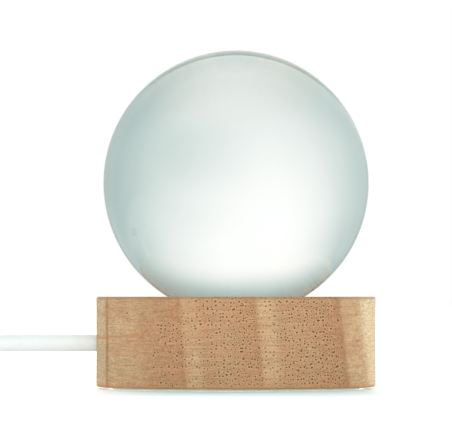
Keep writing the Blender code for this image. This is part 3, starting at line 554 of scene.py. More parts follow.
@once
def plated_metal(graph, tone, roughness, along=(0.15, 3.0, 3.0)):
    """Plated metal with fine drawing lines and slight clouding of its polish."""
    point = graph.place()
    lines = graph.noise(graph.stretched(point, *along), 1.6, 4.0, 0.65)
    clouds = graph.noise(point, 0.5, 3.0)
    shade = graph.mix(clouds, tone, mixed(tone, (0.30, 0.28, 0.25), 0.14))
    return graph.surface(
        Base=shade,
        Metallic=1.0,
        Roughness=lines * 0.18 + clouds * 0.08 + (roughness - 0.12),
        Normal=graph.bump(lines, 0.10, 0.00003),
    )


@once
def insulation(graph, tone):
    """Thin wire insulation, glossy with slight waves."""
    waves = graph.noise(graph.place(), 1.4, 3.0)
    return graph.surface(
        Base=graph.mix(waves * 0.6, tone, mixed(tone, (0.5, 0.5, 0.5), 0.10)),
        Roughness=waves * 0.15 + 0.30,
        Normal=graph.bump(waves, 0.15, 0.00004),
    )


@once
def cell_foam(graph):
    """White closed-cell foam: small round cells, open where the sheet was cut."""
    point = graph.place()
    cells = graph.add(
        "ShaderNodeTexVoronoi", {"feature": "F1"}, {"Vector": point, "Scale": 2.6}, out="Distance"
    )
    dust = graph.noise(point, 0.3, 3.0)
    hollow, sheet = display(212, 217, 214), display(234, 238, 235)
    return graph.surface(
        Base=graph.mix(graph.step(cells, 0.15, 0.6), hollow, graph.mix(dust, sheet, hollow)),
        Roughness=cells * 0.10 + 0.84,
        Normal=graph.bump(cells, 0.5, 0.00012),
    )


@once
def woven_band(graph):
    """White woven band: warp and weft threads, with loops raised on its face."""
    point = graph.place()

    def threads(direction, vector, scale):
        return graph.add(
            "ShaderNodeTexWave",
            {"bands_direction": direction, "wave_profile": "SIN"},
            {"Vector": vector, "Scale": scale, "Distortion": 0.3},
            out="Fac",
        )

    warp = threads("Y", point, 0.55)
    weft = threads("DIAGONAL", graph.stretched(point, 1.0, 0.02, 1.0), 0.75)
    loops = graph.noise(point, 5.0, 4.0, 0.7)
    weave = warp * weft * 0.7 + loops * 0.5
    dark, light = display(196, 199, 197), display(240, 242, 240)
    return graph.surface(
        Base=graph.mix(weave, dark, light),
        Roughness=loops * 0.12 + 0.80,
        Sheen=0.3,
        Normal=graph.bump(weave, 0.6, 0.00015),
    )


@once
def frosted_window(graph):
    """Clear acrylic that is frosted on the underside, towards the LEDs."""
    point = graph.place()
    z = graph.split(point)[2]
    frost = 1 - graph.step(z, WINDOW_LOW.z * MM + 0.05, WINDOW_LOW.z * MM + 0.5)
    grain = graph.noise(point, 6.0, 3.0, 0.7)
    window = graph.principled(
        Base=graph.mix(frost, (0.96, 0.98, 0.97), (0.90, 0.93, 0.92)),
        Roughness=frost * (grain * 0.3 + 0.30) + 0.03,
        IOR=1.49,
        Transmission=1.0,
    )
    shadow = graph.add("ShaderNodeLightPath", out="Is Shadow Ray")
    clear = graph.add("ShaderNodeBsdfTransparent", {}, {"Color": (0.88, 0.91, 0.90)})
    return graph.done(graph.blend(shadow, window, clear))


@once
def led_phosphor(graph):
    """A yellow phosphor window in a white package."""
    grain = graph.noise(graph.place(), 7.0, 3.0, 0.7)
    return graph.surface(
        Base=graph.mix(grain, display(250, 222, 120), display(238, 196, 86)),
        Roughness=grain * 0.2 + 0.22,
        Normal=graph.bump(grain, 0.2, 0.00003),
    )


@once
def chip_ceramic(graph):
    """Dull dark ceramic of the small resistors."""
    grain = graph.noise(graph.place(), 6.0, 3.0, 0.7)
    return graph.surface(
        Base=graph.mix(grain, display(38, 38, 40), display(62, 62, 64)),
        Roughness=grain * 0.25 + 0.40,
        Normal=graph.bump(grain, 0.3, 0.00003),
    )


@once
def solder_mask(graph):
    """White solder mask over copper, with the tinned ring that the wires are soldered to."""
    point = graph.place()
    x, y, _ = graph.split(point)
    grain = graph.noise(point, 3.5, 3.0)
    off = norm(x + 8.0, abs(y) - 1.6)
    pad = 1 - graph.step(off, 0.85, 1.0)
    white = graph.mix(grain * 0.4, display(240, 240, 234), display(224, 225, 216))
    return graph.surface(
        Base=graph.mix(pad, white, display(196, 192, 182)),
        Metallic=pad,
        Roughness=grain * 0.14 + 0.30,
        Normal=graph.bump(grain * 0.4 - pad * 0.4, 0.3, 0.00005),
    )


# Shapes


def numbered(kind, count):
    return [f"{kind}_{number}" for number in range(1, count + 1)]


def dressed(data, material):
    data.materials.clear()
    data.materials.append(material)
    return data


def helper(name, data):
    made = bpy.data.objects.new(name, data)
    bpy.context.scene.collection.objects.link(made)
    return made


def add_piece(name, data, material, slot, *nodes, body="lamp"):
    """A shown piece: it rides on its body and stands for the solids that it replaces."""
    made = helper(name, dressed(data, material))
    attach(made, body)
    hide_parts(*nodes)
    return made


def smoothed(mesh, degrees=35):
    mesh.shade_smooth()
    mesh.set_sharp_from_angle(angle=math.radians(degrees))
    return mesh


def arc(centre, radius, first_degrees, last_degrees, segments):
    angles = (
        math.radians(first_degrees + (last_degrees - first_degrees) * i / segments)
        for i in range(segments + 1)
    )
    return [(centre[0] + radius * math.cos(a), centre[1] + radius * math.sin(a)) for a in angles]


def mesh_of(shape, name):
    mesh = bpy.data.meshes.new(name)
    shape.to_mesh(mesh)
    shape.free()
    return mesh


def turned(name, profile, steps, ring=False):
    """A turned solid from (radius, height) points that run down its outer side."""
    shape = bmesh.new()
    rows = []
    for radius, height in profile:
        if radius < 1e-7:
            rows.append([shape.verts.new((0, 0, height))] * steps)
            continue
        turns = (math.tau * i / steps for i in range(steps))
        rows.append(
            [shape.verts.new((radius * math.cos(a), radius * math.sin(a), height)) for a in turns]
        )
    pairs = list(zip(rows, rows[1:])) + ([(rows[-1], rows[0])] if ring else [])
    for upper, lower in pairs:
        for i in range(steps):
            j = (i + 1) % steps
            corners = []
            for corner in (upper[i], lower[i], lower[j], upper[j]):
                if corner not in corners:
                    corners.append(corner)
            shape.faces.new(corners)
    return mesh_of(shape, name)


def bar(name, start, end, radius, steps=32, end_radius=None):
    """A round bar from start to end."""
    start, end = Vector(start), Vector(end)
    shape = bmesh.new()
    bmesh.ops.create_cone(
        shape,
        cap_ends=True,
        segments=steps,
        radius1=radius,
        radius2=radius if end_radius is None else end_radius,
        depth=(end - start).length,
    )
    turn = (end - start).to_track_quat("Z", "Y").to_matrix().to_4x4()
    bmesh.ops.transform(
        shape, matrix=Matrix.Translation((start + end) / 2) @ turn, verts=shape.verts
    )
    return mesh_of(shape, name)


def rounded_box(name, low, high, edge=0.0, segments=6, along_x=False):
    """A box between two corners with its edges rounded, or only the four that run along X."""
    low, high = Vector(low), Vector(high)
    shape = bmesh.new()
    bmesh.ops.create_cube(shape, size=1)
    bmesh.ops.transform(
        shape,
        matrix=Matrix.Translation((low + high) / 2) @ Matrix.Diagonal((*(high - low), 1)),
        verts=shape.verts,
    )
    if edge:
        ways = [(line, line.verts[0].co - line.verts[1].co) for line in shape.edges]
        bmesh.ops.bevel(
            shape,
            geom=[line for line, way in ways if not along_x or abs(way.normalized().x) > 0.9],
            offset=edge,
            segments=segments,
            profile=0.5,
            affect="EDGES",
            clamp_overlap=True,
        )
    return mesh_of(shape, name)


def baked(name, body, *tools):
    """The body's mesh with its modifiers applied. The body and its tools go."""
    graph = bpy.context.evaluated_depsgraph_get()
    made = bpy.data.meshes.new_from_object(body.evaluated_get(graph))
    for used in (body, *tools):
        bpy.data.objects.remove(used)
    made.name = name
    return made


def carved(name, mesh, cutters, added=()):
    """The mesh with other meshes added and cut away, as one plain mesh."""
    body = helper(name + " blank", mesh)
    tools = []
    for operation, meshes in (("UNION", added), ("DIFFERENCE", cutters)):
        for tool_mesh in meshes:
            tool = helper(name + " tool", tool_mesh)
            tools.append(tool)
            step = body.modifiers.new(operation, "BOOLEAN")
            step.operation, step.object, step.solver = operation, tool, "EXACT"
    return baked(name, body, *tools)


def worn(name, mesh, width, degrees=50, segments=2):
    """The mesh with its sharp edges rounded a little."""
    body = helper(name + " sharp", mesh)
    bevel = body.modifiers.new("Wear", "BEVEL")
    bevel.width, bevel.segments = width, segments
    bevel.limit_method, bevel.angle_limit = "ANGLE", math.radians(degrees)
    bevel.use_clamp_overlap = True
    return baked(name, body)


def moved(mesh, place):
    mesh.transform(place)
    return mesh


def smooth_route(route, spacing=POINT_SPACING):
    """Points at even steps along a smooth curve through the route, whose end runs stay straight."""
    route = [Vector(point) for point in route]
    fine = []
    for before, a, b, after in zip(route, route[1:], route[2:], route[3:]):
        for step in range(24):
            t = step / 24
            slope_in, slope_out = (b - before) / 2, (after - a) / 2
            fine.append(
                (2 * t**3 - 3 * t**2 + 1) * a
                + (t**3 - 2 * t**2 + t) * slope_in
                + (3 * t**2 - 2 * t**3) * b
                + (t**3 - t**2) * slope_out
            )
    fine.append(route[-2])
    along = [0.0]
    for a, b in zip(fine, fine[1:]):
        along.append(along[-1] + (b - a).length)
    count = max(2, round(along[-1] / spacing))
    points, place = [], 0
    for number in range(count + 1):
        target = along[-1] * number / count
        while place < len(fine) - 2 and along[place + 1] < target:
            place += 1
        share = (target - along[place]) / (along[place + 1] - along[place])
        points.append(fine[place].lerp(fine[place + 1], share))
    return [route[0], *points, route[-1]]


def coil_point(turn, radius):
    """The coil's centreline: it spirals in on the lower layer and out again on the upper one."""
    middle = COIL_TURNS / 2
    spread = math.hypot(middle, COIL_TURNING_TURNS) - math.hypot(turn - middle, COIL_TURNING_TURNS)
    reach = COIL_OUTER_RADIUS - COIL_PITCH * spread
    climb = min(1, max(0, (turn - middle) / COIL_CLIMB_TURNS + 0.5))
    height = COIL_UNDERSIDE + radius + COIL_LAYER_STEP * climb * climb * (3 - 2 * climb)
    angle = math.radians(COIL_START_DEGREES) - math.tau * turn
    return Vector(
        (COIL_MIDDLE[0] + reach * math.cos(angle), COIL_MIDDLE[1] + reach * math.sin(angle), height)
    )


def coil_route(radius, per_turn=72):
    count = round(COIL_TURNS * per_turn)
    points = [coil_point(COIL_TURNS * step / count, radius) for step in range(count + 1)]
    run = 2 * radius
    before = points[0] + (points[0] - points[1]).normalized() * run
    after = points[-1] + (points[-1] - points[-2]).normalized() * run
    return [before, *points, after]


def tube_curve(name, points, radius):
    curve = bpy.data.curves.new(name, "CURVE")
    curve.dimensions = "3D"
    curve.bevel_depth = radius
    curve.bevel_resolution = 6
    curve.use_fill_caps = True
    line = curve.splines.new("POLY")
    line.points.add(len(points) - 1)
    for spot, point in zip(line.points, points):
        spot.co = (*point, 1)
    line.use_smooth = True
    return curve


def screw_hole(screw, start=None, end=None, radius=SCREW_HOLE_RADIUS, steps=24):
    """A hole on the axis of a screw: from its lower end to just past its upper one, if not told."""
    low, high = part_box(screw)
    x, y = (low.x + high.x) / 2, (low.y + high.y) / 2
    start = low.z if start is None else start
    end = high.z + GAP if end is None else end
    return bar("screw hole", (x, y, start), (x, y, end), radius, steps)


# Studio


def studio_light(graph, side, ahead, up, reflected):
    """The light that comes from a direction, whose X, Y and Z are given. It is a white backdrop,
    brightest right of the middle, that fades to the sides, the table and the ceiling, and dims
    behind the camera. Where reflected is 1, both sides are darker, as the ball's rims show them."""
    step = graph.step
    backdrop = 0.763 + 0.306 * step(side, -0.998, -0.156) - 0.46 * step(side, -0.27, 1.03)
    table = 0.791 + 0.081 * step(side, -0.523, 0.045) - 0.221 * step(side, -0.009, 0.70)
    level = table + (backdrop - table) * step(up, -0.567, 0.266)
    level = level + (0.369 - level) * step(up, 0.462, 0.863)
    level = level - 0.128 * step(abs(side), 0.322, 1.0)
    level = level - 0.06 * step(abs(side), 0.2, 0.6) * step(up, -0.2, -0.5)
    level = level - 0.26 * step(ahead, 0.33, 0.12) * step(ahead, -0.3, 0.0)
    level = level * (1 - 0.35 * step(ahead, 0.25, -0.30))
    level = level - 0.075 * step(abs(side - 0.18), 0.36, 0.06) * step(abs(up + 0.12), 0.24, 0.03)
    brighter = 0.055 * step(side, -0.15, 0.10) * step(side, 0.6, 0.3)
    brighter = brighter - 0.045 * step(side, -0.3, -0.6)
    level = level + brighter * step(up, 0.15, 0.40) * step(up, 0.70, 0.58)
    rims = 0.25 * step(side, -0.06, -0.24) + 0.13 * step(side, 0.06, 0.24)
    level = level * (1 - reflected * step(ahead, 0.72, 0.90) * rims)
    tint = graph.ramp(
        level,
        (0.40, (0.78, 1.0, 0.966)),
        (0.60, (0.82, 1.0, 0.970)),
        (0.76, (0.885, 1.0, 0.963)),
        (0.86, (0.945, 1.0, 0.975)),
        (1.0, (0.995, 1.0, 0.983)),
    )
    return graph.scaled(tint, level)


# Operators


class BALLLAMP_OT_stage(bpy.types.Operator):
    """Sets up the camera, the floor, the studio light and the world"""

    bl_idname = "scene.ball_lamp_stage"
    bl_label = "Stage"

    def execute(self, context):
        stage = context.scene.ball_lamp_stage
        self.camera(context, stage)
        self.floor()
        self.lamps(context, stage)
        self.world(context)
        return {"FINISHED"}

    def camera(self, context, stage):
        camera = bpy.data.objects.new("Camera", bpy.data.cameras.new("Camera"))
        context.scene.collection.objects.link(camera)
        camera.data.sensor_width = 36
        camera.data.lens = stage.lens
        camera.data.clip_start, camera.data.clip_end = 0.01, 60
        camera.location = (0, -stage.distance, stage.height)
        turn = math.radians(CAMERA_TURN_DEGREES)
        camera.rotation_euler = (math.radians(90 + CAMERA_TILT_DEGREES), 0, turn)
        context.scene.camera = camera

    def floor(self):
        """A pale table that glows as if lit from below, with painted shadow and painted light near
        the lamp. Glass and metal see it as they see the studio round it.
        """
        graph = Finish("pale table")
        step, mix = graph.step, graph.mix
        point = graph.place()
        x, y, _ = graph.split(point)
        wide, deep, reach = abs(x), abs(y), norm(x, y)
        path, glassy = graph.glassy()
        haze = graph.noise(point, 0.02, 3.0)
        # Painted near the lamp: a soft shadow in front, painted light at both sides that takes away
        # the shade there, and a painted glow under the base that lights the pad's rim
        before = ((abs(x - 3.0) / 36.0) ** 4.0 + ((y + 20.0) / 80.0) * ((y + 20.0) / 80.0)) ** 0.5
        near = mix(step(before, 0.2, 1.1), (0.0, 0.13, 0.13), (0.42, 0.35, 0.34))
        beside = step(wide, 27.5, 34.0) * (1 - step(wide, 38.0, 90.0))
        beside = beside * (1 - step(deep, 15.0, 80.0))
        near = mix(beside * 0.9, near, (0.53, 0.53, 0.51))
        under = mix(step(wide, 20.0, 28.0), (1.05, 1.02, 0.90), (0.85, 0.88, 0.84))
        near = mix(step(reach, 30.0, 28.5), near, under)
        lift = mix(step(reach, 120.0, 900.0), near, (0.75, 0.75, 0.75))
        # The light that the table throws on the pieces is weaker than what the camera sees of it
        dimmed = path.other("Is Diffuse Ray") * step(reach, 31.0, 34.0)
        table = graph.principled(
            Base=mix(haze * 0.3, (0.66, 0.67, 0.665), (0.64, 0.65, 0.645)),
            Roughness=haze * 0.1 + 0.85,
            Specular=0.1,
            Emission_Color=graph.scaled(lift, 1 - dimmed * 0.4),
            Emission_Strength=1.0,
        )
        # In the glass: the studio as it is seen from the back of the ball, with a painted shadow
        # in a band behind the base and an even patch at the left
        back, drop = y - BALL_HIGH.x * MM, (BALL_LOW.z + BALL_HIGH.z) / 2 * MM + 2.5
        slant = norm(x, back, drop)
        reflected = path.other("Is Reflection Ray")
        seen = studio_light(graph, x / slant, back / slant, -drop / slant, reflected)
        left = step(x, -50.0, -90.0) * (1 - step(deep, 40.0, 80.0)) * step(x, -420.0, -200.0)
        seen = mix(left, seen, (0.74, 0.80, 0.78))
        band = step(y, 18.0, 26.0) * (1 - step(y, 52.0, 53.8)) * (1 - step(wide, 48.0, 70.0))
        seen = mix(band, seen, (0.19, 0.35, 0.315))
        mirrored = graph.add("ShaderNodeEmission", {}, {"Color": seen})
        mesh = bpy.data.meshes.new("table")
        side = 8
        corners = [(-side, -side, 0), (side, -side, 0), (side, side, 0), (-side, side, 0)]
        mesh.from_pydata(corners, [], [(0, 1, 2, 3)])
        mesh.materials.append(graph.done(graph.blend(glassy, table, mirrored)))
        helper("table", mesh)

    def lamps(self, context, stage):
        """Soft boxes that light the pieces and aren't seen through the glass."""
        aim = Vector((0, 0, 0.03))
        for name, power, width, spot in (
            ("Back soft box", stage.back_power, 1.1, (-0.15, 0.9, 1.1)),
            ("Front soft box", stage.front_power, 1.8, (0.1, -1.3, 0.5)),
            ("Right rim light", stage.rim_power, 0.3, (1.0, 1.1, 0.25)),
            ("Left rim light", stage.rim_power * 0.3, 0.3, (-1.0, 1.0, 0.25)),
        ):
            data = bpy.data.lights.new(name, "AREA")
            data.energy, data.size = power, width
            lamp = bpy.data.objects.new(name, data)
            lamp.location = spot
            lamp.rotation_euler = (aim - Vector(spot)).to_track_quat("-Z", "Y").to_euler()
            lamp.visible_camera = lamp.visible_transmission = lamp.visible_glossy = False
            context.scene.collection.objects.link(lamp)

    def world(self, context):
        """White backdrop behind the lamp, with the studio darker round it, as the glass shows."""
        world = bpy.data.worlds.new("Studio")
        context.scene.world = world
        world.use_nodes = True
        graph = Graph(world.node_tree)
        side, ahead, up = graph.split(graph.add("ShaderNodeTexCoord", out="Generated"))
        path, glassy = graph.glassy()
        seen = studio_light(graph, side, ahead, up, path.other("Is Reflection Ray"))
        light = graph.mix(glassy, (0.605, 0.635, 0.64), seen)
        shown = graph.mix(path.other("Is Camera Ray"), light, (1.0, 1.0, 1.0))
        sky = graph.add("ShaderNodeBackground", {}, {"Color": shown, "Strength": 1.0})
        graph.end(sky, "ShaderNodeOutputWorld")
        context.scene.view_settings.view_transform = "Standard"


class BALLLAMP_OT_ball(bpy.types.Operator):
    """Adds the glass ball, which lies loose in the dish"""

    bl_idname = "mesh.ball_lamp_ball"
    bl_label = "Glass Ball"

    def execute(self, context):
        shape = bmesh.new()
        bmesh.ops.create_uvsphere(
            shape, u_segments=192, v_segments=96, radius=sizes().ball_radius
        )
        middle = Matrix.Translation((BALL_LOW + BALL_HIGH) / 2)
        mesh = moved(mesh_of(shape, "glass_ball"), middle)
        mesh.shade_smooth()
        add_piece("glass_ball", mesh, clear_glass(), "ball_glass", "crystal_ball", body="ball")
        return {"FINISHED"}


class BALLLAMP_OT_base(bpy.types.Operator):
    """Adds the turned wooden base with its dish, pocket and hole for the lead"""

    bl_idname = "mesh.ball_lamp_base"
    bl_label = "Wooden Base"

    def execute(self, context):
        radius, arris = sizes().base_radius, sizes().base_arris
        top, bottom = BASE_HIGH.z, BASE_LOW.z
        ball_height = (BALL_LOW.z + BALL_HIGH.z) / 2
        dish = sizes().ball_radius + GAP
        window = WINDOW_HIGH.x - WINDOW_FLANGE_WIDTH + GAP
        rebate = COVER_HIGH.x + GAP
        pocket = rebate - COVER_LEDGE_WIDTH
        ceiling, rebate_top = WINDOW_LOW.z, COVER_HIGH.z + GAP
        flange, flange_top = WINDOW_HIGH.x + GAP, WINDOW_LOW.z + WINDOW_FLANGE_THICKNESS + GAP
        rim = math.sqrt(dish**2 - (ball_height - top) ** 2)
        lip, border = 0.00025, 0.004
        first = math.degrees(math.asin(window / dish)) - 90
        last = math.degrees(math.asin((rim - lip) / dish)) - 90
        profile = (
            [(rim + lip, top), (radius - border, top)]
            + arc((radius - arris, top - arris), arris, 90, 0, 8)
            + [(radius, (top + bottom) / 2)]
            + arc((radius - arris, bottom + arris), arris, 0, -90, 8)
            + [
                (rebate, bottom),
                (rebate, rebate_top),
                (pocket, rebate_top),
                (pocket, ceiling),
                (flange, ceiling),
                (flange, flange_top),
                (window, flange_top),
            ]
            + arc((0, ball_height), dish, first, last, 24)
        )
        cord = sizes().cord_diameter / 2 + GAP
        height = LEAD_EXIT[2]
        hole = bar("hole", (-radius - PAST, 0, height), (-pocket + PAST, 0, height), cord, 48)
        bevel, wide, narrow = 0.0004, cord + 0.0006, cord - 0.0002
        ends = (-radius - bevel, 0, height), (-radius + bevel, 0, height)
        chamfer = bar("chamfer", *ends, wide, 48, end_radius=narrow)
        pilots = [
            screw_hole(screw)
            for kind in ("holder", "clamp", "cover")
            for screw in numbered(f"{kind}_screw", SCREWS[kind])
        ]
        blank = turned("wooden_base", profile, sizes().base_steps, ring=True)
        mesh = smoothed(carved("wooden_base", blank, [hole, chamfer, *pilots]), 30)
        add_piece("wooden_base", mesh, pale_hardwood(), "base_wood", "wood_base")
        return {"FINISHED"}


class BALLLAMP_OT_lead(bpy.types.Operator):
    """Adds the lead and its coil, from the base to the switch and on to the plug"""

    bl_idname = "curve.ball_lamp_lead"
    bl_label = "Lead And Coil"

    def execute(self, context):
        points = smooth_route(LEAD_ROUTE)
        switch = (
            "case_lower case_upper rocker_cap contact_in contact_out blade wire_in wire_out "
            "through_wire screw_1 screw_2"
        )
        self.cord(
            "lead_to_switch",
            points,
            ["cord_lead"],
            exit=LEAD_EXIT,
            far_end="fitting",
            lay="loose",
            with_pieces=[f"switch_{part}" for part in switch.split()],
        )
        diameter = sizes().cord_diameter
        coil = coil_route(diameter / 2)
        link = smooth_route([*LINK_ROUTE, coil[0], coil[1]])
        plug_end = PLUG_START - Vector((GAP, 0, 0))
        run_in = plug_end - Vector((diameter, 0, 0))
        tail = smooth_route([coil[-2], coil[-1], *TAIL_ROUTE, run_in, plug_end])
        self.cord(
            "lead_coil_and_tail",
            [*link[:-1], *coil[1:-1], *tail[1:]],
            ["cord_link", "cord_coil", "cord_tail"],
            exit=LINK_EXIT,
            far_end="plug",
            lay="coiled",
            with_pieces=["coil_band", "plug_overmould", "plug_steel_shell", "plug_tongue"]
            + numbered("plug_contact", 4),
        )
        return {"FINISHED"}

    def cord(self, name, points, nodes, **facts):
        """A round cord through the points. What is known of it is given but not used."""
        diameter = sizes().cord_diameter
        tube = tube_curve(name, points, diameter / 2)
        made = add_piece(name, tube, soft_jacket(), "cord_jacket", *nodes)


class BALLLAMP_OT_band(bpy.types.Operator):
    """Adds the woven band round the coil"""

    bl_idname = "mesh.ball_lamp_band"
    bl_label = "Coil Band"

    def execute(self, context):
        corner, thickness = 0.0018, 0.0006
        shell = rounded_box("coil_band", TIE_LOW, TIE_HIGH, corner, 8)
        inset = Vector((thickness, -PAST, thickness))
        inside = rounded_box("inside", TIE_LOW + inset, TIE_HIGH - inset)
        mesh = smoothed(carved("coil_band", shell, [inside]), 40)
        add_piece("coil_band", mesh, woven_band(), "tie_band", "cord_tie")
        return {"FINISHED"}


class BALLLAMP_OT_switch(bpy.types.Operator):
    """Adds the two halves of the switch's case and its rocker"""

    bl_idname = "mesh.ball_lamp_switch"
    bl_label = "Rocker Switch"

    def execute(self, context):
        half, middle = SWITCH_SIZE / 2, SWITCH_MIDDLE
        low = middle - Vector((half.x, half.y, 0))
        high = middle + Vector((half.x, half.y, SWITCH_SIZE.z))
        waist, far = SWITCH_SIZE.z / 2, 0.002
        past = Vector((far, far, far))
        case = rounded_box("case", low, high, SWITCH_CORNER, 8)
        ends = (low.x - far, middle.y, waist), (high.x + far, middle.y, waist)
        channel = bar("channel", *ends, CORD_HOLE_RADIUS, 48)
        above = rounded_box("above", (low.x - far, low.y - far, waist - GAP / 2), high + past)
        below = rounded_box("below", low - past, (high.x + far, high.y + far, waist + GAP / 2))

        def room(half_length, half_width, bottom, top):
            """A box round the middle of the switch, between two heights."""
            span = Vector((half_length, half_width, 0))
            ends = middle - span + Vector((0, 0, bottom)), middle + span + Vector((0, 0, top))
            return rounded_box("room", *ends)

        wall, over, half_long, half_wide, wear = 0.0012, 0.02, 0.0095, 0.0058, 0.00012
        tilt = math.radians(ROCKER_TILT_DEGREES)
        rise = SWITCH_SIZE.z - SWITCH_PIVOT_HEIGHT
        swing = ROCKER_SIZE.x * math.cos(tilt) + 2 * rise * math.sin(tilt)
        wide = ROCKER_SIZE.y / 2 + GAP
        opening = room(swing / 2 + GAP, wide, waist, over)
        axis = middle + Vector((0, 0, SWITCH_PIVOT_HEIGHT))
        reach = Vector((0, PIVOT_REACH + GAP, 0))
        pivots = bar("pivots", axis - reach, axis + reach, PIVOT_RADIUS + PIVOT_CLEARANCE, 24)
        heads, pilots = [], []
        for screw in numbered("switch_screw", 2):
            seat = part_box(screw)[0].z + SCREW_HEAD_HEIGHT
            heads.append(screw_hole(screw, -far, seat, SCREW_HEAD_HOLE_RADIUS, 32))
            heads.append(screw_hole(screw, -far))
            pilots.append(screw_hole(screw, 0))
        lower = [above, channel, room(half_long, half_wide, wall, over), *heads]
        upper = [below, channel, room(half_long, wide + GAP, 0, SWITCH_SIZE.z - wall)]
        upper += [opening, pivots, *pilots]
        plastic = moulded_plastic("switch", (1, 1, 1), 0.40)
        for part, cutters in (("lower", lower), ("upper", upper)):
            name = f"switch_case_{part}"
            mesh = smoothed(worn(name, carved(name, case, cutters), wear))
            add_piece(name, mesh, plastic, "switch_plastic", f"switch_{part}_shell")
        name = "switch_rocker_cap"
        glossy = moulded_plastic("rocker", (0.97, 0.975, 0.97), 0.30, 2.0, 0.08)
        add_piece(name, self.rocker(), glossy, "rocker_plastic", "switch_rocker", body="rocker")
        return {"FINISHED"}

    def rocker(self):
        """A rocker with a dished top, a rounded flank and stub pins, tilted to its off stop."""
        half, wide = ROCKER_SIZE.x / 2, ROCKER_SIZE.y / 2
        dip, depth, nose, steps = 0.0006, 0.0014, 0.0008, 24
        shares = [1 - 2 * step / steps for step in range(steps + 1)]
        top = [(half * share, ROCKER_SIZE.z - dip * (1 - share * share)) for share in shares]
        tip = ROCKER_NOSE_HEIGHT - SWITCH_PIVOT_HEIGHT
        left = [(-half, 0), (-half / 2, -depth * 0.7), (-nose, -depth), (-nose, tip)]
        right = [(-x, z) for x, z in reversed(left)]
        shape = bmesh.new()
        near = [shape.verts.new((x, -wide, z)) for x, z in top + left + right]
        swept = bmesh.ops.extrude_face_region(shape, geom=[shape.faces.new(near)])["geom"]
        across = [made for made in swept if isinstance(made, bmesh.types.BMVert)]
        bmesh.ops.translate(shape, vec=(0, 2 * wide, 0), verts=across)
        bmesh.ops.recalc_face_normals(shape, faces=shape.faces)
        wear = 0.0003
        cap = worn("rocker", mesh_of(shape, "rocker"), wear, 60, 3)
        ends = (0, -PIVOT_REACH, 0), (0, PIVOT_REACH, 0)
        pins = bar("pins", *ends, PIVOT_RADIUS, 24)
        whole = carved("switch_rocker_cap", cap, [], [pins])
        place = Matrix.Translation(SWITCH_MIDDLE + Vector((0, 0, SWITCH_PIVOT_HEIGHT)))
        turn = Matrix.Rotation(math.radians(ROCKER_TILT_DEGREES), 4, "Y")
        return smoothed(moved(whole, place @ turn), 40)


class BALLLAMP_OT_plug(bpy.types.Operator):
    """Adds the plug's soft grip with its strain relief, and the steel shell"""

    bl_idname = "mesh.ball_lamp_plug"
    bl_label = "Plug"

    def execute(self, context):
        grip_low = Vector((PLUG_START.x + PLUG_TAIL_LENGTH, GRIP_LOW.y, GRIP_LOW.z))
        grip = rounded_box("grip", grip_low, GRIP_HIGH, PLUG_CORNER, 8)
        room = Vector((GAP, GAP, GAP))
        high = SHELL_HIGH + room
        socket = rounded_box("socket", SHELL_LOW - room, (GRIP_HIGH.x + PAST, high.y, high.z))
        first, apart, off, round_by = grip_low.x + 0.006, 0.0022, 0.0003, 0.0007
        lines = [
            bar("line", (x, GRIP_LOW.y - PAST, z), (x, GRIP_HIGH.y + PAST, z), round_by, 24)
            for x in (first + number * apart for number in range(5))
            for z in (GRIP_LOW.z - off, GRIP_HIGH.z + off)
        ]
        mesh = smoothed(carved("plug_overmould", grip, [socket, *lines], [self.tail()]), 40)
        add_piece("plug_overmould", mesh, soft_jacket(), "plug_plastic", "plug_grip")
        self.shell()
        return {"FINISHED"}

    def tail(self):
        """The strain relief: a taper with grooves round it, turned about the lead's axis."""
        length, widening = PLUG_TAIL_LENGTH + 0.0009, 0.0010
        first, apart, depth, wide = 0.0018, 0.0019, 0.0004, 0.0004

        def thick(along):
            return PLUG_TAIL_RADIUS + widening * along / length

        profile = [(0, 0), (thick(0), 0)]
        for number in range(4):
            groove = first + number * apart
            inner = thick(groove) - depth
            profile += [
                (thick(groove - wide), groove - wide),
                (inner, groove - wide * 0.75),
                (inner, groove + wide * 0.75),
                (thick(groove + wide), groove + wide),
            ]
        profile += [(thick(length), length), (0, length)]
        place = Matrix.Translation(PLUG_START) @ Matrix.Rotation(math.radians(90), 4, "Y")
        return moved(turned("tail", profile[::-1], 48), place)

    def shell(self):
        """The steel shell: open at its end, with two square windows that go through both faces."""
        wall, corner, inner_corner = 0.0003, 0.0005, 0.0003
        outer = rounded_box("shell", SHELL_LOW, SHELL_HIGH, corner, along_x=True)
        low, high = SHELL_LOW + Vector((wall, wall, wall)), SHELL_HIGH - Vector((-PAST, wall, wall))
        cutters = [rounded_box("hollow", low, high, inner_corner, along_x=True)]
        latch, apart, along, over = 0.0011, 0.003, GRIP_HIGH.x + 0.0062, 0.009
        for y in (PLUG_START.y - apart, PLUG_START.y + apart):
            low, high = (along - latch, y - latch, -PAST), (along + latch, y + latch, over)
            cutters.append(rounded_box("latch", low, high))
        mesh = smoothed(carved("plug_steel_shell", outer, cutters), 30)
        nickel = plated_metal("nickel", tuple(colours().metal), 0.24)
        add_piece("plug_steel_shell", mesh, nickel, "plug_steel", "plug_shell")


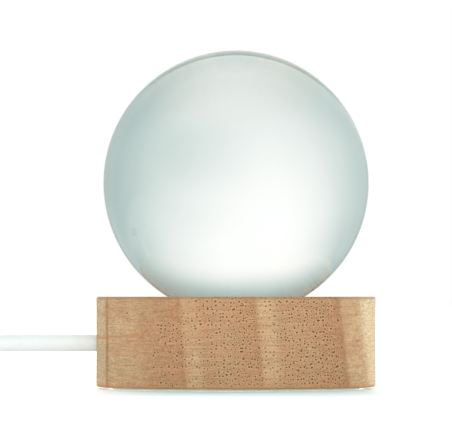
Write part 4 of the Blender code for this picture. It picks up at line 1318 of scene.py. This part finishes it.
class BALLLAMP_OT_inner_parts(bpy.types.Operator):
    """Gives the light module, cover, clamp, screws and wires their finishes"""

    bl_idname = "object.ball_lamp_inner_parts"
    bl_label = "Inner Parts"

    def execute(self, context):
        zinc = plated_metal("zinc", display(190, 190, 186), 0.34, (2.0, 2.0, 0.3))
        gilt = plated_metal("gilt", display(226, 186, 108), 0.26)
        red = insulation("red", display(178, 44, 34))
        black = insulation("black", display(36, 36, 38))
        cover = moulded_plastic("cover", (0.97, 0.97, 0.96), 0.50, 3.0, 0.35)
        inner = moulded_plastic("inner", (0.99, 0.99, 0.98), 0.46, 3.0, 0.20)
        screws = [name for kind in SCREWS for name in numbered(f"{kind}_screw", SCREWS[kind])]
        for finish, slot, names in (
            (cover, "cover_plastic", ["bottom_cover"]),
            (cell_foam(), "foot_foam", ["foot_pad"]),
            (frosted_window(), "window_acrylic", ["led_window"]),
            (inner, "holder_plastic", ["led_holder"]),
            (inner, "clamp_plastic", ["cord_clamp"]),
            (inner, "tongue_plastic", ["plug_tongue"]),
            (solder_mask(), "board_white", ["led_board"]),
            (red, "wire_red", ["positive_wire", "switch_wire_in", "switch_wire_out"]),
            (black, "wire_black", ["negative_wire", "switch_through_wire"]),
            (gilt, "contact_metal", ["switch_contact_in", "switch_contact_out", "switch_blade"]),
            (gilt, "contact_metal", numbered("plug_contact", 4)),
            (led_phosphor(), "led_lens", numbered("led", 3)),
            (chip_ceramic(), "resistor_ceramic", numbered("resistor", 2)),
            (zinc, "screw_steel", screws),
        ):
            for name in names:
                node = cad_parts[name]
                smoothed(dressed(node.data, finish))
        return {"FINISHED"}


class BALLLAMP_PT_panel(bpy.types.Panel):
    """Lists the pieces of the lamp and their settings"""

    bl_label = "Crystal Ball Lamp"
    bl_idname = "BALLLAMP_PT_panel"
    bl_space_type = "VIEW_3D"
    bl_region_type = "UI"
    bl_category = "Ball Lamp"

    def draw(self, context):
        for operator in OPERATORS:
            self.layout.operator(operator.bl_idname)
        for group in SETTINGS:
            settings = getattr(context.scene, group)
            box = self.layout.box()
            for name in settings.__annotations__:
                box.prop(settings, name)


SETTINGS = {
    "ball_lamp_sizes": BallLampSizes,
    "ball_lamp_colours": BallLampColours,
    "ball_lamp_stage": BallLampStage,
}
OPERATORS = (
    BALLLAMP_OT_stage,
    BALLLAMP_OT_band,
    BALLLAMP_OT_switch,
    BALLLAMP_OT_plug,
    BALLLAMP_OT_inner_parts,
    BALLLAMP_OT_lead,
    BALLLAMP_OT_ball,
    BALLLAMP_OT_base,
)


def register():
    for made in (*SETTINGS.values(), *OPERATORS, BALLLAMP_PT_panel):
        bpy.utils.register_class(made)
    for name, group in SETTINGS.items():
        setattr(bpy.types.Scene, name, PointerProperty(type=group))


def unregister():
    for name in SETTINGS:
        delattr(bpy.types.Scene, name)
    for made in reversed((*SETTINGS.values(), *OPERATORS, BALLLAMP_PT_panel)):
        bpy.utils.unregister_class(made)


def main():
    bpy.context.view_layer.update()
    register()
    bpy.ops.scene.ball_lamp_stage()
    bpy.ops.mesh.ball_lamp_band()
    bpy.ops.mesh.ball_lamp_switch()
    bpy.ops.mesh.ball_lamp_plug()
    bpy.ops.object.ball_lamp_inner_parts()
    bpy.ops.curve.ball_lamp_lead()
    bpy.ops.mesh.ball_lamp_ball()
    bpy.ops.mesh.ball_lamp_base()


if __name__ == "__main__":
    main()
